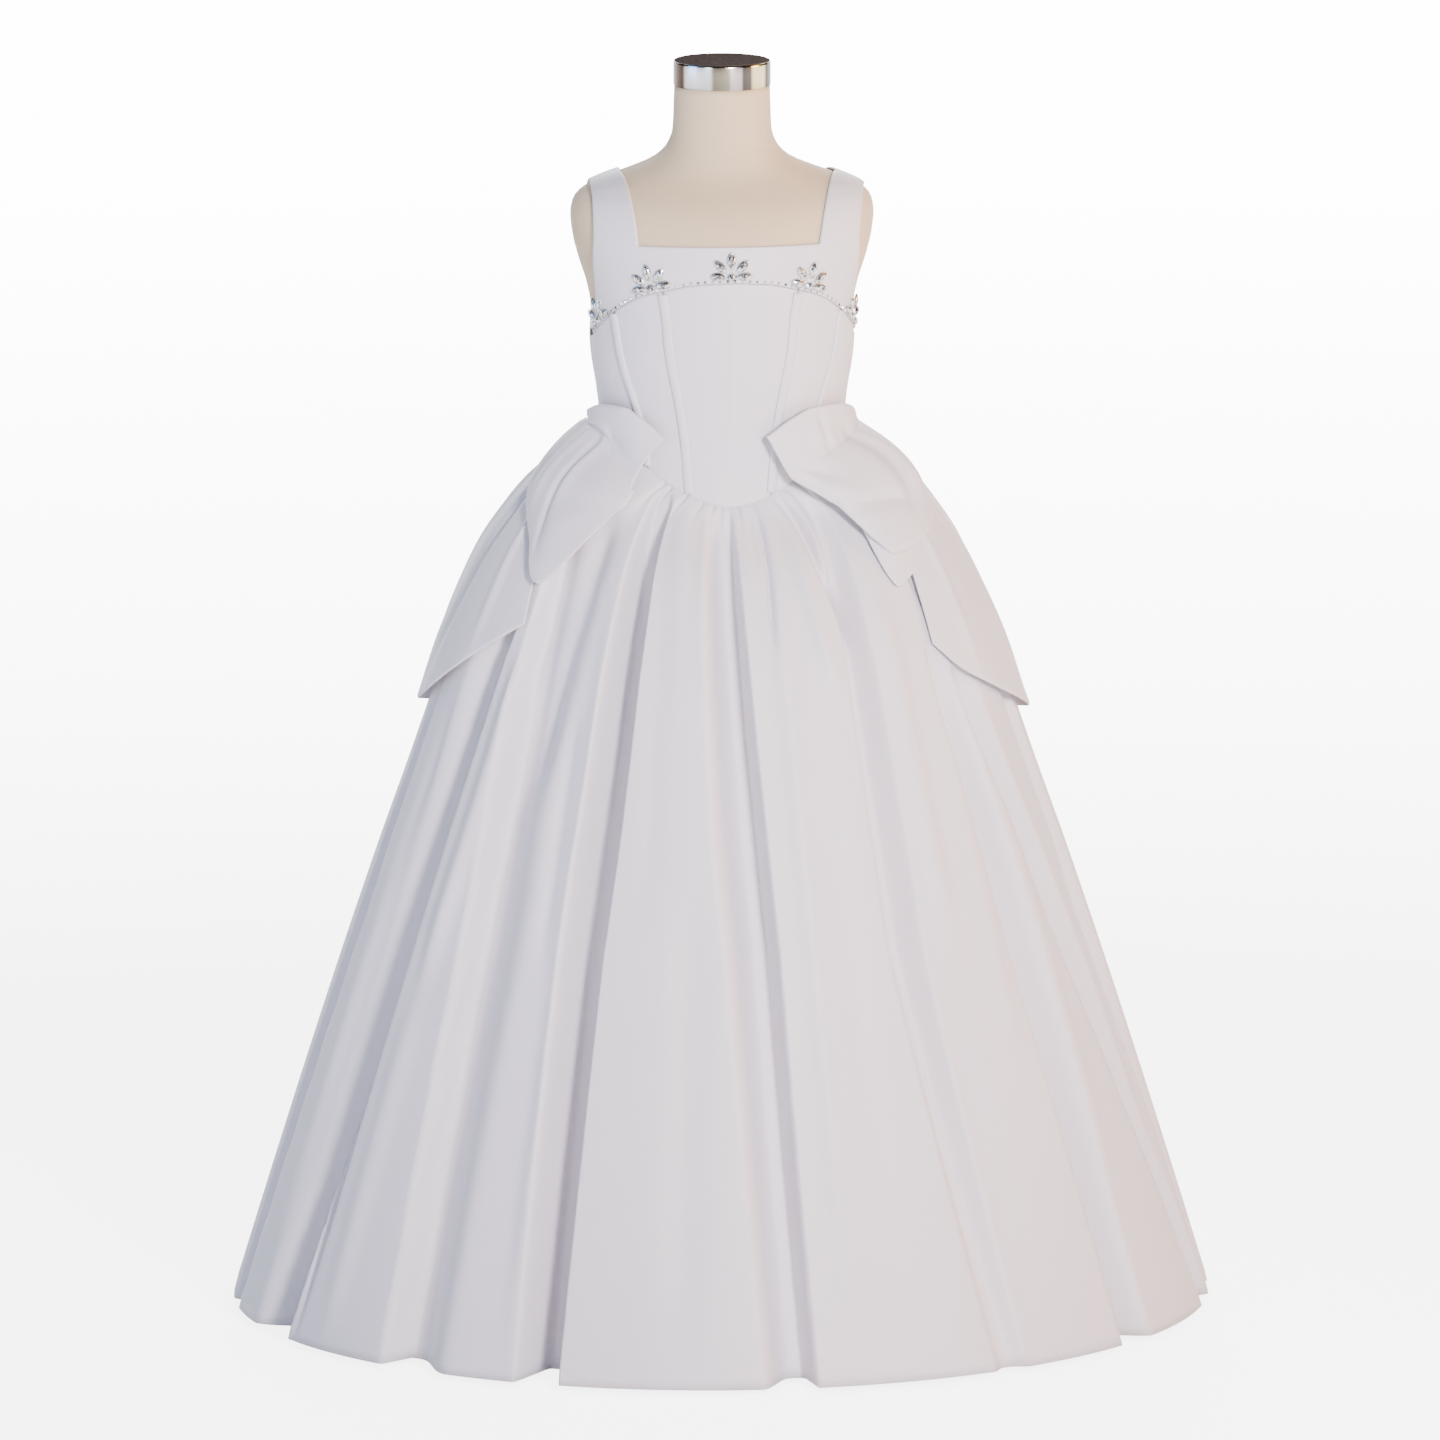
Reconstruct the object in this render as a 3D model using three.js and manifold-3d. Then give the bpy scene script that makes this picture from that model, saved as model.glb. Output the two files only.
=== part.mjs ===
// A white satin first-communion dress on a limbless child's dress form.
// Millimetres, +Z up. The form's base stands on z = 0 around the origin and the dress faces -Y.
// Angles run round the body in degrees: 0 is the centre front, 90 is the side at +X, 180 the centre back.
// Every cloth piece is a wall of even thickness, laid between named seams on a smooth surface.
import * as THREE from 'three';
import { mergeVertices } from 'three/addons/utils/BufferGeometryUtils.js';
import Module from 'manifold-3d';

const wasm = await Module();
wasm.setup();

// Driving sizes
const seamGap = 0.3; // between pieces that are sewn together
const bodyEase = 1.2; // form to the inside of the cloth
const bodiceCloth = 1.6; // satin with its interlining
const skirtCloth = 2.0;
const swagCloth = 1.8;
const hemZ = 6; // the hem hangs just clear of the floor
const neckFrontZ = 932; // square neckline
const neckBackZ = 930;
const waistPointZ = 708; // lowest point of the pointed waist, at the centre front
const waistRise = 62; // from that point up to the side seams
const waistBackZ = 765;
const waistSwing = 14; // how quickly the skirt swings out below the waist seam
const sideTopZ = 844; // under the arm
const strap = { innerX: 76, outerX: 112, shoulderInnerX: 88, shoulderOuterX: 113 };
const armholeAngle = 80; // where the arched seam runs out into the armhole
const capRadius = 41.5;
const capHeight = 22;
const poleRadius = 14;
const baseRadius = 135;
const baseHeight = 12;

// Each row is one section of the form: half its width, and its depth before and behind the side seams
const formSections = table('z side front back', [
  [545, 94, 70, 76],
  [556, 108, 81, 88],
  [585, 116, 88, 97],
  [640, 115.5, 89, 99],
  [690, 110, 86, 93],
  [735, 103.5, 83, 83],
  [750, 102.3, 82.3, 79.7],
  [765, 102, 82, 78],
  [782, 103, 82.8, 77.6],
  [800, 105, 84, 78],
  [833, 110, 88, 81],
  [868, 112, 90, 85],
  [890, 116, 90.5, 87],
  [912, 123, 89.5, 86.5],
  [932, 128, 86, 85],
  [950, 130, 79, 80],
  [962, 128, 71, 74],
  [972, 120, 61, 66],
  [980, 104, 53, 58],
  [988, 81, 47, 52],
  [998, 58, 43.5, 47],
  [1009, 47, 41.5, 44],
  [1022, 42.5, 40.5, 42],
  [1058.4, 41, 40.5, 41],
]);

// Each row is one section of the smooth shape that the skirt's folds are pressed into
const hipSections = table('z side front back', [
  [6, 423, 360, 392],
  [122, 387, 323, 360],
  [263, 342, 277, 317],
  [403, 295, 231, 272],
  [473, 270, 208, 250],
  [525, 252, 189, 232],
  [578, 234, 170, 212],
  [620, 216, 152, 194],
  [660, 197, 132, 174],
  [690, 178, 110, 157],
  [706, 167, 99, 146],
  [720, 156, 96, 134],
  [735, 141, 93, 120],
  [745, 130, 90, 109],
  [755, 119, 88, 98],
  [765, 111, 87, 88],
  [775, 107.5, 86.5, 83.5],
  [800, 108.5, 87, 81.5],
]);

// The arched seam under the yoke, and the four bone seams, each given to the side of the centre front
const archSeam = table('angle z', [
  [0, 902],
  [15, 900],
  [28, 894.5],
  [41, 887.5],
  [57, 873],
  [70, 859],
  [80, 848],
  [90, 844],
]);
const boneSeams = table('z inner outer', [
  [705, 18, 39],
  [735, 20, 41],
  [760, 21.5, 43],
  [790, 23.5, 47],
  [817, 25.5, 51.5],
  [845, 27.5, 55],
  [872, 28.5, 57.5],
  [903, 29.5, 59],
]);

// Each row is one fold of the skirt, a valley: the angle of its path at the waist, halfway and at the hem,
// its half-width to either side in degrees, its depth halfway and at the hem, and the height it starts from
const skirtFolds = table('waist middle hem left right depth hemDepth start', [
  [-86, -80, -92, 6, 7, 9, 12, 640],
  [-58, -64, -66, 5, 3.2, 17, 30, 700],
  [-41, -43.5, -45, 8, 8, 13, 17, 700],
  [-24, -24.4, -24.4, 6.5, 3.2, 24, 36, 712],
  [-1, 4, 6, 3.6, 8, 18, 24, 702],
  [20, 31.5, 24, 4, 6, 14, 5, 716],
  [42, 44, 47, 5.5, 3.4, 16, 28, 690],
  [52, 57, 69.5, 5, 5, 12, 18, 690],
  [74, 79, 86, 6, 5, 10, 14, 660],
  [98, 101, 104, 5, 4, 15, 26, 720],
  [113, 118, 121, 6, 7, 12, 16, 700],
  [131, 135, 138, 5, 3.6, 18, 30, 730],
  [150, 153, 155, 7, 6, 13, 18, 720],
  [171, 172, 174, 4, 5, 19, 29, 735],
  [190, 189, 192, 6, 5, 12, 17, 700],
  [208, 209, 210, 4, 5, 17, 28, 735],
  [226, 226, 228, 7, 6, 12, 15, 710],
  [243, 244, 247, 4, 5, 17, 27, 720],
  [259, 258, 257, 5, 6, 10, 15, 680],
]);
const foldMiddleZ = 350;
const gathers = { count: 38, depth: 1.4, length: 46 }; // small tucks just below the waist seam

// Each row is a rib of an overskirt flap, from its upper edge (a0, z0) to its lower edge (a1, z1).
// at is its place along the flap, lift0 and lift1 how far it stands off the skirt, puff its bulge between.
// A seated flap is sewn into the waist seam; the others are held by it only where they are gathered.
const ribColumns = 'at a0 z0 a1 z1 lift0 lift1 puff';
const flaps = {
  swag_left_top: {
    across: 12,
    down: 6,
    ribs: table(ribColumns, [
      [0, -66, 789, -66, 762, 4, 6.2, 3],
      [0.25, -57, 794, -57, 754, 6.5, 8.6, 6],
      [0.5, -48, 793, -47, 746, 8, 11.5, 8],
      [0.75, -38, 784, -37, 734, 8, 12, 7],
      [1, -29.5, 769, -28.5, 714, 7, 10, 4],
    ]),
  },
  swag_left_middle: {
    across: 16,
    down: 7,
    ribs: table(ribColumns, [
      [0, -96, 765, -92, 738, 2.5, 9, 3],
      [0.25, -76, 767, -71, 708, 2.6, 9.8, 3],
      [0.5, -60, 765, -59, 683, 2.8, 11.3, 3],
      [0.75, -45, 752, -49, 655, 3, 11.3, 2.5],
      [1, -29, 724, -32, 694, 3, 8.5, 1],
    ]),
  },
  swag_left_long: {
    across: 24,
    down: 8,
    seated: true,
    ribs: table(ribColumns, [
      [0, -174, 764, -172, 466, 0.6, 7, 3],
      [0.25, -142, 765, -148, 476, 0.6, 9, 4],
      [0.45, -112, 768, -116, 506, 0.6, 9, 4],
      [0.65, -84, 769, -90, 531, 0.6, 8.2, 4],
      [0.8, -64, 757, -71, 566, 0.6, 8.6, 3],
      [0.9, -52, 746, -60, 590, 0.6, 8, 2.5],
      [1, -44, 736, -51, 611, 0.6, 7, 2],
    ]),
  },
  swag_right_top: {
    across: 18,
    down: 8,
    ribs: table(ribColumns, [
      [0, 14.5, 772, 27, 702, 5, 9.4, 4],
      [0.2, 25.5, 786, 33, 688, 7, 9.8, 9],
      [0.4, 38, 793, 42, 690, 8, 9.8, 11],
      [0.6, 52, 793, 48.5, 684, 8, 9.8, 10],
      [0.75, 63, 788, 56, 689, 8, 11.5, 9],
      [0.88, 76, 779, 66, 708, 7, 11, 7],
      [1, 88, 771, 82, 738, 5, 7.5, 3],
    ]),
  },
  swag_right_under: {
    across: 8,
    down: 4,
    ribs: table(ribColumns, [
      [0, 27, 717, 29, 690, 4.6, 8.2, 0],
      [0.3, 34, 722, 33.5, 671, 4, 8, 0],
      [0.55, 41, 722, 38.8, 650, 4.4, 8.8, 0],
      [1, 54, 724, 53.5, 677, 4.4, 8.4, 0],
    ]),
  },
  swag_right_long: {
    across: 24,
    down: 8,
    seated: true,
    ribs: table(ribColumns, [
      [0, 40, 730, 47, 592, 0.6, 7, 2],
      [0.1, 49, 742, 53, 569, 0.6, 8, 2.5],
      [0.2, 60, 755, 63, 548, 0.6, 8.6, 3],
      [0.35, 82, 769, 86, 517, 0.6, 8.6, 4],
      [0.55, 110, 768, 114, 494, 0.6, 9, 4],
      [0.75, 142, 765, 146, 474, 0.6, 9, 4],
      [1, 174, 764, 172, 466, 0.6, 7, 3],
    ]),
  },
};

// A rhinestone flower opens like a fan, with its petals above a round stone: the direction of each and its distance
const petals = table('direction reach', [
  [2, 10.8],
  [43, 12.4],
  [90, 12.8],
  [137, 12.4],
  [178, 10.8],
]);
const flower = { petalLength: 12.2, petalWidth: 5.8, stone: 2.6, centre: 2.9, settingRadius: 7, settingRise: 1.8 };
// The five flowers: the angle of each on the yoke, its turn in degrees, and how far its flat back stands off the
// yoke at its middle, which is more where the yoke curves round to the side
const flowerPlaces = table('name angle turn seat', [
  ['rhinestone_flower_centre', 0, 0, 0.35],
  ['rhinestone_flower_left', -34, 14, 0.35],
  ['rhinestone_flower_right', 34, -14, 0.35],
  ['rhinestone_flower_far_left', -71, 30, 1],
  ['rhinestone_flower_far_right', 71, -30, 1],
]);
const flowerAboveSeam = 5.2;

// The pull hangs from the slider's bar, which is its hinge
const zip = {
  z: 914,
  sliderWidth: 7,
  sliderHeight: 11,
  sliderDepth: 2.4,
  barRadius: 0.8,
  eyeRadius: 2.4,
  eyeHole: 1.2,
  eyeWidth: 3,
  postWidth: 1.1,
  pullWidth: 6,
  pullLength: 22,
  pullDepth: 1.2,
};

const finish = (color, roughness, metalness) => new THREE.MeshStandardMaterial({ color, roughness, metalness });
const satin = finish(0xe9e8ea, 0.42, 0);
const formCloth = finish(0xd6c4ac, 0.9, 0);
const polishedMetal = finish(0xc8c6c2, 0.18, 1);
const paintedMetal = finish(0x2b2b2d, 0.5, 0.4);
const crystal = finish(0xe4edf5, 0.08, 0.1);

function table(columns, rows) {
  const names = columns.split(' ');
  return rows.map((row) => Object.fromEntries(names.map((name, i) => [name, row[i]])));
}

const mix = (from, to, part) => from + (to - from) * part;
const radians = THREE.MathUtils.degToRad;

// A smooth curve through one column of a table. It never overshoots a row and runs on straight past the ends.
function curveOf(rows, along, column) {
  const xs = rows.map((row) => row[along]);
  const ys = rows.map((row) => row[column]);
  const last = xs.length - 1;
  const rises = xs.slice(1).map((x, i) => (ys[i + 1] - ys[i]) / (x - xs[i]));
  const slopes = xs.map((_, i) => {
    const before = rises[Math.max(i - 1, 0)];
    const after = rises[Math.min(i, last - 1)];
    return before * after > 0 ? (2 * before * after) / (before + after) : 0;
  });
  return (x) => {
    if (x <= xs[0]) return ys[0] + slopes[0] * (x - xs[0]);
    if (x >= xs[last]) return ys[last] + slopes[last] * (x - xs[last]);
    const i = xs.findIndex((start, k) => x < xs[k + 1]);
    const width = xs[i + 1] - xs[i];
    const p = (x - xs[i]) / width;
    const q = 1 - p;
    const ends = ys[i] * (1 + 2 * p) * q * q + ys[i + 1] * (1 + 2 * q) * p * p;
    return ends + width * p * q * (slopes[i] * q - slopes[i + 1] * p);
  };
}

function sectionsOf(rows) {
  return { side: curveOf(rows, 'z', 'side'), front: curveOf(rows, 'z', 'front'), back: curveOf(rows, 'z', 'back') };
}
const body = sectionsOf(formSections);
const hip = sectionsOf(hipSections);
const archZ = curveOf(archSeam, 'angle', 'z');
const innerSeam = curveOf(boneSeams, 'z', 'inner');
const outerSeam = curveOf(boneSeams, 'z', 'outer');

// A point of a section: half an ellipse before the side seams and half another behind them
function onSection(section, angle, z, out = 0) {
  const a = radians(angle);
  const depth = Math.cos(a) > 0 ? section.front(z) : section.back(z);
  return new THREE.Vector3((section.side(z) + out) * Math.sin(a), -(depth + out) * Math.cos(a), z);
}

function waistZ(angle) {
  const side = Math.abs(Math.sin(radians(angle)));
  if (Math.cos(radians(angle)) > 0) return waistPointZ + waistRise * side ** 1.7;
  return mix(waistBackZ, waistPointZ + waistRise, side ** 2);
}

// Closed wall between place(s, t) moved inward and outward along its normal.
// s runs along rising angles and t downward, and has() leaves cells out where the piece is narrower.
function clothWall(columns, rows, place, inner, outer, has = () => true) {
  const step = 1e-3;
  const faces = [inner, outer].map(() => []);
  for (let j = 0; j <= rows; j += 1) {
    for (let i = 0; i <= columns; i += 1) {
      const s = i / columns;
      const t = j / rows;
      const along = place(s + step, t).sub(place(s - step, t));
      const down = place(s, t + step).sub(place(s, t - step));
      const normal = down.cross(along).normalize();
      faces[0].push(place(s, t).addScaledVector(normal, inner));
      faces[1].push(place(s, t).addScaledVector(normal, outer));
    }
  }
  const present = (i, j) => i >= 0 && j >= 0 && i < columns && j < rows && has(i, j);
  const corners = [];
  const quad = (a, b, c, d) => corners.push(a, b, c, a, c, d);
  const index = (i, j) => j * (columns + 1) + i;
  const side = (from, to) => quad(faces[1][from], faces[0][from], faces[0][to], faces[1][to]);
  for (let j = 0; j < rows; j += 1) {
    for (let i = 0; i < columns; i += 1) {
      if (!present(i, j)) continue;
      const [a, b, c, d] = [index(i, j), index(i, j + 1), index(i + 1, j + 1), index(i + 1, j)];
      quad(faces[1][a], faces[1][b], faces[1][c], faces[1][d]);
      quad(faces[0][a], faces[0][d], faces[0][c], faces[0][b]);
      if (!present(i - 1, j)) side(a, b);
      if (!present(i, j + 1)) side(b, c);
      if (!present(i + 1, j)) side(c, d);
      if (!present(i, j - 1)) side(d, a);
    }
  }
  const geometry = new THREE.BufferGeometry().setFromPoints(corners);
  geometry.computeVertexNormals();
  return geometry;
}

const mirrored = (place) => (s, t) => {
  const point = place(1 - s, t);
  point.x = -point.x;
  return point;
};

const dress = new THREE.Group();
function add(name, geometry, material, parent = dress) {
  const mesh = new THREE.Mesh(geometry, material);
  mesh.name = name;
  parent.add(mesh);
  return mesh;
}
const bodiceWall = (columns, rows, place, has) =>
  clothWall(columns, rows, place, bodyEase, bodyEase + bodiceCloth, has);

// The top of the form over a point at x, found on the shoulder slope
function shoulderZ(x) {
  let [low, high] = [952, 1022];
  for (let i = 0; i < 40; i += 1) {
    const middle = (low + high) / 2;
    if (body.side(middle) > x) low = middle;
    else high = middle;
  }
  return low;
}

// A point of a strap: over is -1 at the front end, 0 on the shoulder and 1 at the back end
function onStrap(x, over, endZ) {
  const top = shoulderZ(x);
  const z = top - (top - endZ) * over * over;
  const depth = over < 0 ? body.front(z) : body.back(z);
  const across = Math.sqrt(Math.max(0, 1 - (x / body.side(z)) ** 2));
  return new THREE.Vector3(x, Math.sign(over) * depth * across, z);
}
const shoulderGap = seamGap / 120; // as a part of the strap's own run
const angleAt = (x, z) => THREE.MathUtils.radToDeg(Math.asin(x / body.side(z)));

function yokeFront() {
  const strapColumns = 6;
  const middleColumns = 18;
  const strapRows = 6;
  const bandRows = 4;
  const columns = 2 * strapColumns + middleColumns;
  const rows = strapRows + bandRows;
  const strapPart = strapColumns / columns;
  const outer = angleAt(strap.outerX, neckFrontZ);
  const inner = angleAt(strap.innerX, neckFrontZ);
  const lowerInner = 54;
  const place = (s, t) => {
    const turned = s > 0.5;
    const p = Math.min(s, 1 - s) / strapPart; // 0 at the armhole, 1 at the neckline corner
    const middle = (p - 1) / (0.5 / strapPart - 1);
    const upper = p <= 1 ? mix(outer, inner, p) : mix(inner, 0, middle);
    const lower = p <= 1 ? mix(armholeAngle, lowerInner, p) : mix(lowerInner, 0, middle);
    const row = t * rows;
    const sign = turned ? 1 : -1;
    if (row < strapRows) {
      const over = mix(-shoulderGap, -1, row / strapRows);
      const startX = body.side(neckFrontZ) * Math.sin(radians(upper));
      const endX = mix(strap.shoulderOuterX, strap.shoulderInnerX, p);
      const point = onStrap(mix(endX, startX, -over), over, neckFrontZ);
      point.x *= sign;
      return point;
    }
    const v = (row - strapRows) / bandRows;
    const angle = mix(upper, lower, v);
    const z = mix(neckFrontZ, archZ(lower) + seamGap / 2, v);
    return onSection(body, sign * angle, z);
  };
  const inStrap = (i) => i < strapColumns || i >= columns - strapColumns;
  return bodiceWall(columns, rows, place, (i, j) => j >= strapRows || inStrap(i));
}

// A front panel at +X from one seam to the next, between the arched seam and the waist seam
function frontPanel(columns, rows, from, to) {
  const place = (s, t) => {
    let z = 800;
    let angle = 0;
    for (let i = 0; i < 4; i += 1) {
      angle = mix(from(z), to(z), s);
      z = mix(archZ(Math.abs(angle)) - seamGap / 2, waistZ(angle) + seamGap / 2, t);
    }
    return onSection(body, angle, z);
  };
  return place;
}
const halfGapAngle = THREE.MathUtils.radToDeg(seamGap / 2 / 96);

function bodiceFronts() {
  const innerEdge = (z) => innerSeam(z) - halfGapAngle;
  const centre = frontPanel(8, 9, (z) => -innerEdge(z), innerEdge);
  add('bodice_centre_front', bodiceWall(8, 9, centre), satin);
  const besideInner = (z) => innerSeam(z) + halfGapAngle;
  const beforeOuter = (z) => outerSeam(z) - halfGapAngle;
  const sideFront = frontPanel(5, 9, besideInner, beforeOuter);
  add('bodice_side_front_right', bodiceWall(5, 9, sideFront), satin);
  add('bodice_side_front_left', bodiceWall(5, 9, mirrored(sideFront)), satin);
  const besideOuter = (z) => outerSeam(z) + halfGapAngle;
  const sidePanel = frontPanel(11, 7, besideOuter, () => 90 - halfGapAngle);
  add('bodice_side_right', bodiceWall(11, 7, sidePanel), satin);
  add('bodice_side_left', bodiceWall(11, 7, mirrored(sidePanel)), satin);
}

function boneChannels() {
  const halfWidth = 4;
  const inner = bodyEase + bodiceCloth + seamGap;
  const seams = [['inner', innerSeam, 8], ['outer', outerSeam, 1]]; // and how far below the arch each starts
  for (const [name, seam, below] of seams) {
    const place = (s, t) => {
      let z = 800;
      for (let i = 0; i < 4; i += 1) z = mix(archZ(seam(z)) - below, waistZ(seam(z)) + 3, t);
      const spread = THREE.MathUtils.radToDeg(halfWidth / 100);
      return onSection(body, seam(z) + mix(-spread, spread, s), z);
    };
    add(`bone_channel_${name}_right`, clothWall(2, 10, place, inner, inner + 1.1), satin);
    add(`bone_channel_${name}_left`, clothWall(2, 10, mirrored(place), inner, inner + 1.1), satin);
  }
}

function bodiceBacks() {
  const counts = { side: 4, strap: 4, centre: 5, strapRows: 6, bodyRows: 6 };
  const columns = counts.side + counts.strap + counts.centre;
  const rows = counts.strapRows + counts.bodyRows;
  const strapOuter = 180 - angleAt(strap.outerX, neckBackZ);
  const strapInner = 180 - angleAt(strap.innerX, neckBackZ);
  const place = (s, t) => {
    const column = s * columns;
    const pastSide = column - counts.side;
    const pastStrap = pastSide - counts.strap;
    let angle = mix(90 + halfGapAngle, strapOuter, column / counts.side);
    if (pastSide > 0) angle = mix(strapOuter, strapInner, pastSide / counts.strap);
    if (pastStrap > 0) angle = mix(strapInner, 180 - halfGapAngle, pastStrap / counts.centre);
    const row = t * rows;
    if (row < counts.strapRows) {
      const over = mix(shoulderGap, 1, row / counts.strapRows);
      const startX = body.side(neckBackZ) * Math.sin(radians(angle));
      const endX = mix(strap.shoulderOuterX, strap.shoulderInnerX, pastSide / counts.strap);
      return onStrap(mix(endX, startX, over), over, neckBackZ);
    }
    const towardArm = Math.min(Math.max(-pastSide / counts.side, 0), 1);
    const drop = Math.sin((towardArm * Math.PI) / 2) ** 0.8;
    const top = mix(neckBackZ, sideTopZ, drop);
    const z = mix(top, waistZ(angle) + seamGap / 2, (row - counts.strapRows) / counts.bodyRows);
    return onSection(body, angle, z);
  };
  const isStrap = (i) => i >= counts.side && i < counts.side + counts.strap;
  add('bodice_back_right', bodiceWall(columns, rows, place, (i, j) => j >= counts.strapRows || isStrap(i)), satin);
  const left = mirrored(place);
  const isLeftStrap = (i) => isStrap(columns - 1 - i);
  add('bodice_back_left', bodiceWall(columns, rows, left, (i, j) => j >= counts.strapRows || isLeftStrap(i)), satin);
}

// How far the skirt is pressed inward by its folds
function foldDepth(angle, z) {
  let depth = 0;
  for (const fold of skirtFolds) {
    if (z >= fold.start) continue;
    const high = (z - foldMiddleZ) / (700 - foldMiddleZ);
    const low = (foldMiddleZ - z) / (foldMiddleZ - hemZ);
    const centre = z > foldMiddleZ ? mix(fold.middle, fold.waist, high) : mix(fold.middle, fold.hem, low);
    const away = THREE.MathUtils.euclideanModulo(angle - centre + 180, 360) - 180;
    const width = away < 0 ? fold.left : fold.right;
    const full = z > foldMiddleZ ? fold.depth : mix(fold.depth, fold.hemDepth, low);
    const grown = 1 - Math.exp(-(fold.start - z) / 80);
    depth += full * grown * Math.exp(-((away / width) ** 2));
  }
  return depth;
}

// The gathers are pressed inward, and fade in below the seam and out again further down
function gatherDepth(angle, below) {
  const turn = radians(angle);
  const wave = Math.sin(gathers.count * turn + 1.3 * Math.sin(5 * turn));
  const fade = (1 - Math.exp(-below / 5)) * Math.exp(-below / gathers.length);
  return gathers.depth * (1 - wave) * fade;
}

// The skirt leaves the bodice at the waist seam and swings out to the smooth hip shape
function onSkirt(angle, below) {
  const z = waistZ(angle) - below;
  const held = Math.exp(-Math.max(below, 0) / waistSwing);
  const pressed = gatherDepth(angle, Math.max(below, 0)) + foldDepth(angle, z);
  const top = onSection(body, angle, z, bodyEase + skirtCloth / 2);
  return onSection(hip, angle, z, -pressed).lerp(top, held);
}

// Rows stand closer together near the waist seam, where the cloth bends most
const closer = (t) => t * Math.abs(t);

function skirtPanel(columns, rows, fromAngle, toAngle) {
  const place = (s, t) => {
    const angle = mix(fromAngle, toAngle, s);
    const length = waistZ(angle) - hemZ;
    return onSkirt(angle, mix(seamGap, length, closer(t)));
  };
  return clothWall(columns, rows, place, -skirtCloth / 2, skirtCloth / 2);
}

// The smooth shape under a swag, without the skirt's folds: the skirt below the waist, the bodice above it
function underSwag(angle, z, seated) {
  const below = waistZ(angle) - z;
  const held = seated ? Math.exp(-Math.max(below, 0) / waistSwing) : 1 / (1 + Math.exp((below - 8) / 7));
  return onSection(hip, angle, z).lerp(onSection(body, angle, z, bodyEase + skirtCloth / 2), held);
}

function onSwag(angle, z, lift, seated) {
  const along = underSwag(angle + 0.1, z, seated).sub(underSwag(angle - 0.1, z, seated));
  const down = underSwag(angle, z - 0.1, seated).sub(underSwag(angle, z + 0.1, seated));
  const normal = down.cross(along).normalize();
  return underSwag(angle, z, seated).addScaledVector(normal, skirtCloth / 2 + lift + swagCloth / 2);
}

function swag({ across, down, ribs, seated = false }) {
  const rib = {};
  for (const column of ribColumns.split(' ').slice(1)) rib[column] = curveOf(ribs, 'at', column);
  const place = (s, row) => {
    const t = seated ? closer(row) : row;
    const angle = mix(rib.a0(s), rib.a1(s), t);
    const lift = mix(rib.lift0(s), rib.lift1(s), t) + rib.puff(s) * Math.sin(Math.PI * t);
    return onSwag(angle, mix(rib.z0(s), rib.z1(s), t), lift, seated);
  };
  return clothWall(across, down, place, -swagCloth / 2, swagCloth / 2);
}

function asSolid(geometry) {
  const bare = geometry.clone();
  bare.deleteAttribute('normal');
  bare.deleteAttribute('uv');
  const merged = mergeVertices(bare, 1e-4);
  const index = merged.index.array;
  const solid = new wasm.Mesh({
    numProp: 3,
    vertProperties: new Float32Array(merged.attributes.position.array),
    triVerts: new Uint32Array(index),
  });
  return new wasm.Manifold(solid);
}

function joined(geometries) {
  const whole = geometries.map(asSolid).reduce((sum, solid) => sum.add(solid));
  const mesh = whole.getMesh();
  const geometry = new THREE.BufferGeometry();
  geometry.setAttribute('position', new THREE.BufferAttribute(mesh.vertProperties, 3));
  geometry.setIndex(new THREE.BufferAttribute(mesh.triVerts, 1));
  geometry.computeVertexNormals();
  return geometry;
}

// A stone stands on z = 0: straight sides up to its girdle, then facets in to the flat table at its top
function cutStone(outline, height) {
  const levels = [[1, 0], [1, 0.45], [0.55, 1]];
  const rings = levels.map(([part, rise]) =>
    outline.map(([x, y]) => new THREE.Vector3(x * part, y * part, height * rise)));
  const corners = [];
  const count = outline.length;
  for (let i = 0; i < count; i += 1) {
    const k = (i + 1) % count;
    for (let j = 0; j < 2; j += 1) {
      const [lower, upper] = [rings[j], rings[j + 1]];
      corners.push(lower[i], lower[k], upper[k], lower[i], upper[k], upper[i]);
    }
    if (i === 0 || k === 0) continue;
    corners.push(rings[0][0], rings[0][k], rings[0][i], rings[2][0], rings[2][i], rings[2][k]);
  }
  return new THREE.BufferGeometry().setFromPoints(corners);
}

// Five marquise stones above a brilliant, all on one metal setting
function flowerGeometry() {
  const halfLength = flower.petalLength / 2;
  const halfWidth = flower.petalWidth / 2;
  const petal = [[1, 0], [0.45, 0.85], [-0.45, 0.85], [-1, 0], [-0.45, -0.85], [0.45, -0.85]].map(([x, y]) => [
    x * halfLength,
    y * halfWidth,
  ]);
  const round = Array.from({ length: 8 }, (_, i) => [
    flower.centre * Math.cos((i * Math.PI) / 4),
    flower.centre * Math.sin((i * Math.PI) / 4),
  ]);
  const pieces = [cutStone(round, flower.stone * 1.15)];
  const setting = new THREE.CylinderGeometry(flower.settingRadius, flower.settingRadius, flower.stone * 0.4, 10);
  pieces.push(setting.rotateX(Math.PI / 2).translate(0, flower.settingRise, flower.stone * 0.2));
  for (const { direction, reach } of petals) {
    pieces.push(cutStone(petal, flower.stone).translate(reach, 0, 0).rotateZ(radians(direction)));
  }
  const geometry = joined(pieces);
  geometry.computeBoundingBox();
  return geometry.translate(0, 0, -geometry.boundingBox.min.z);
}

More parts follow.
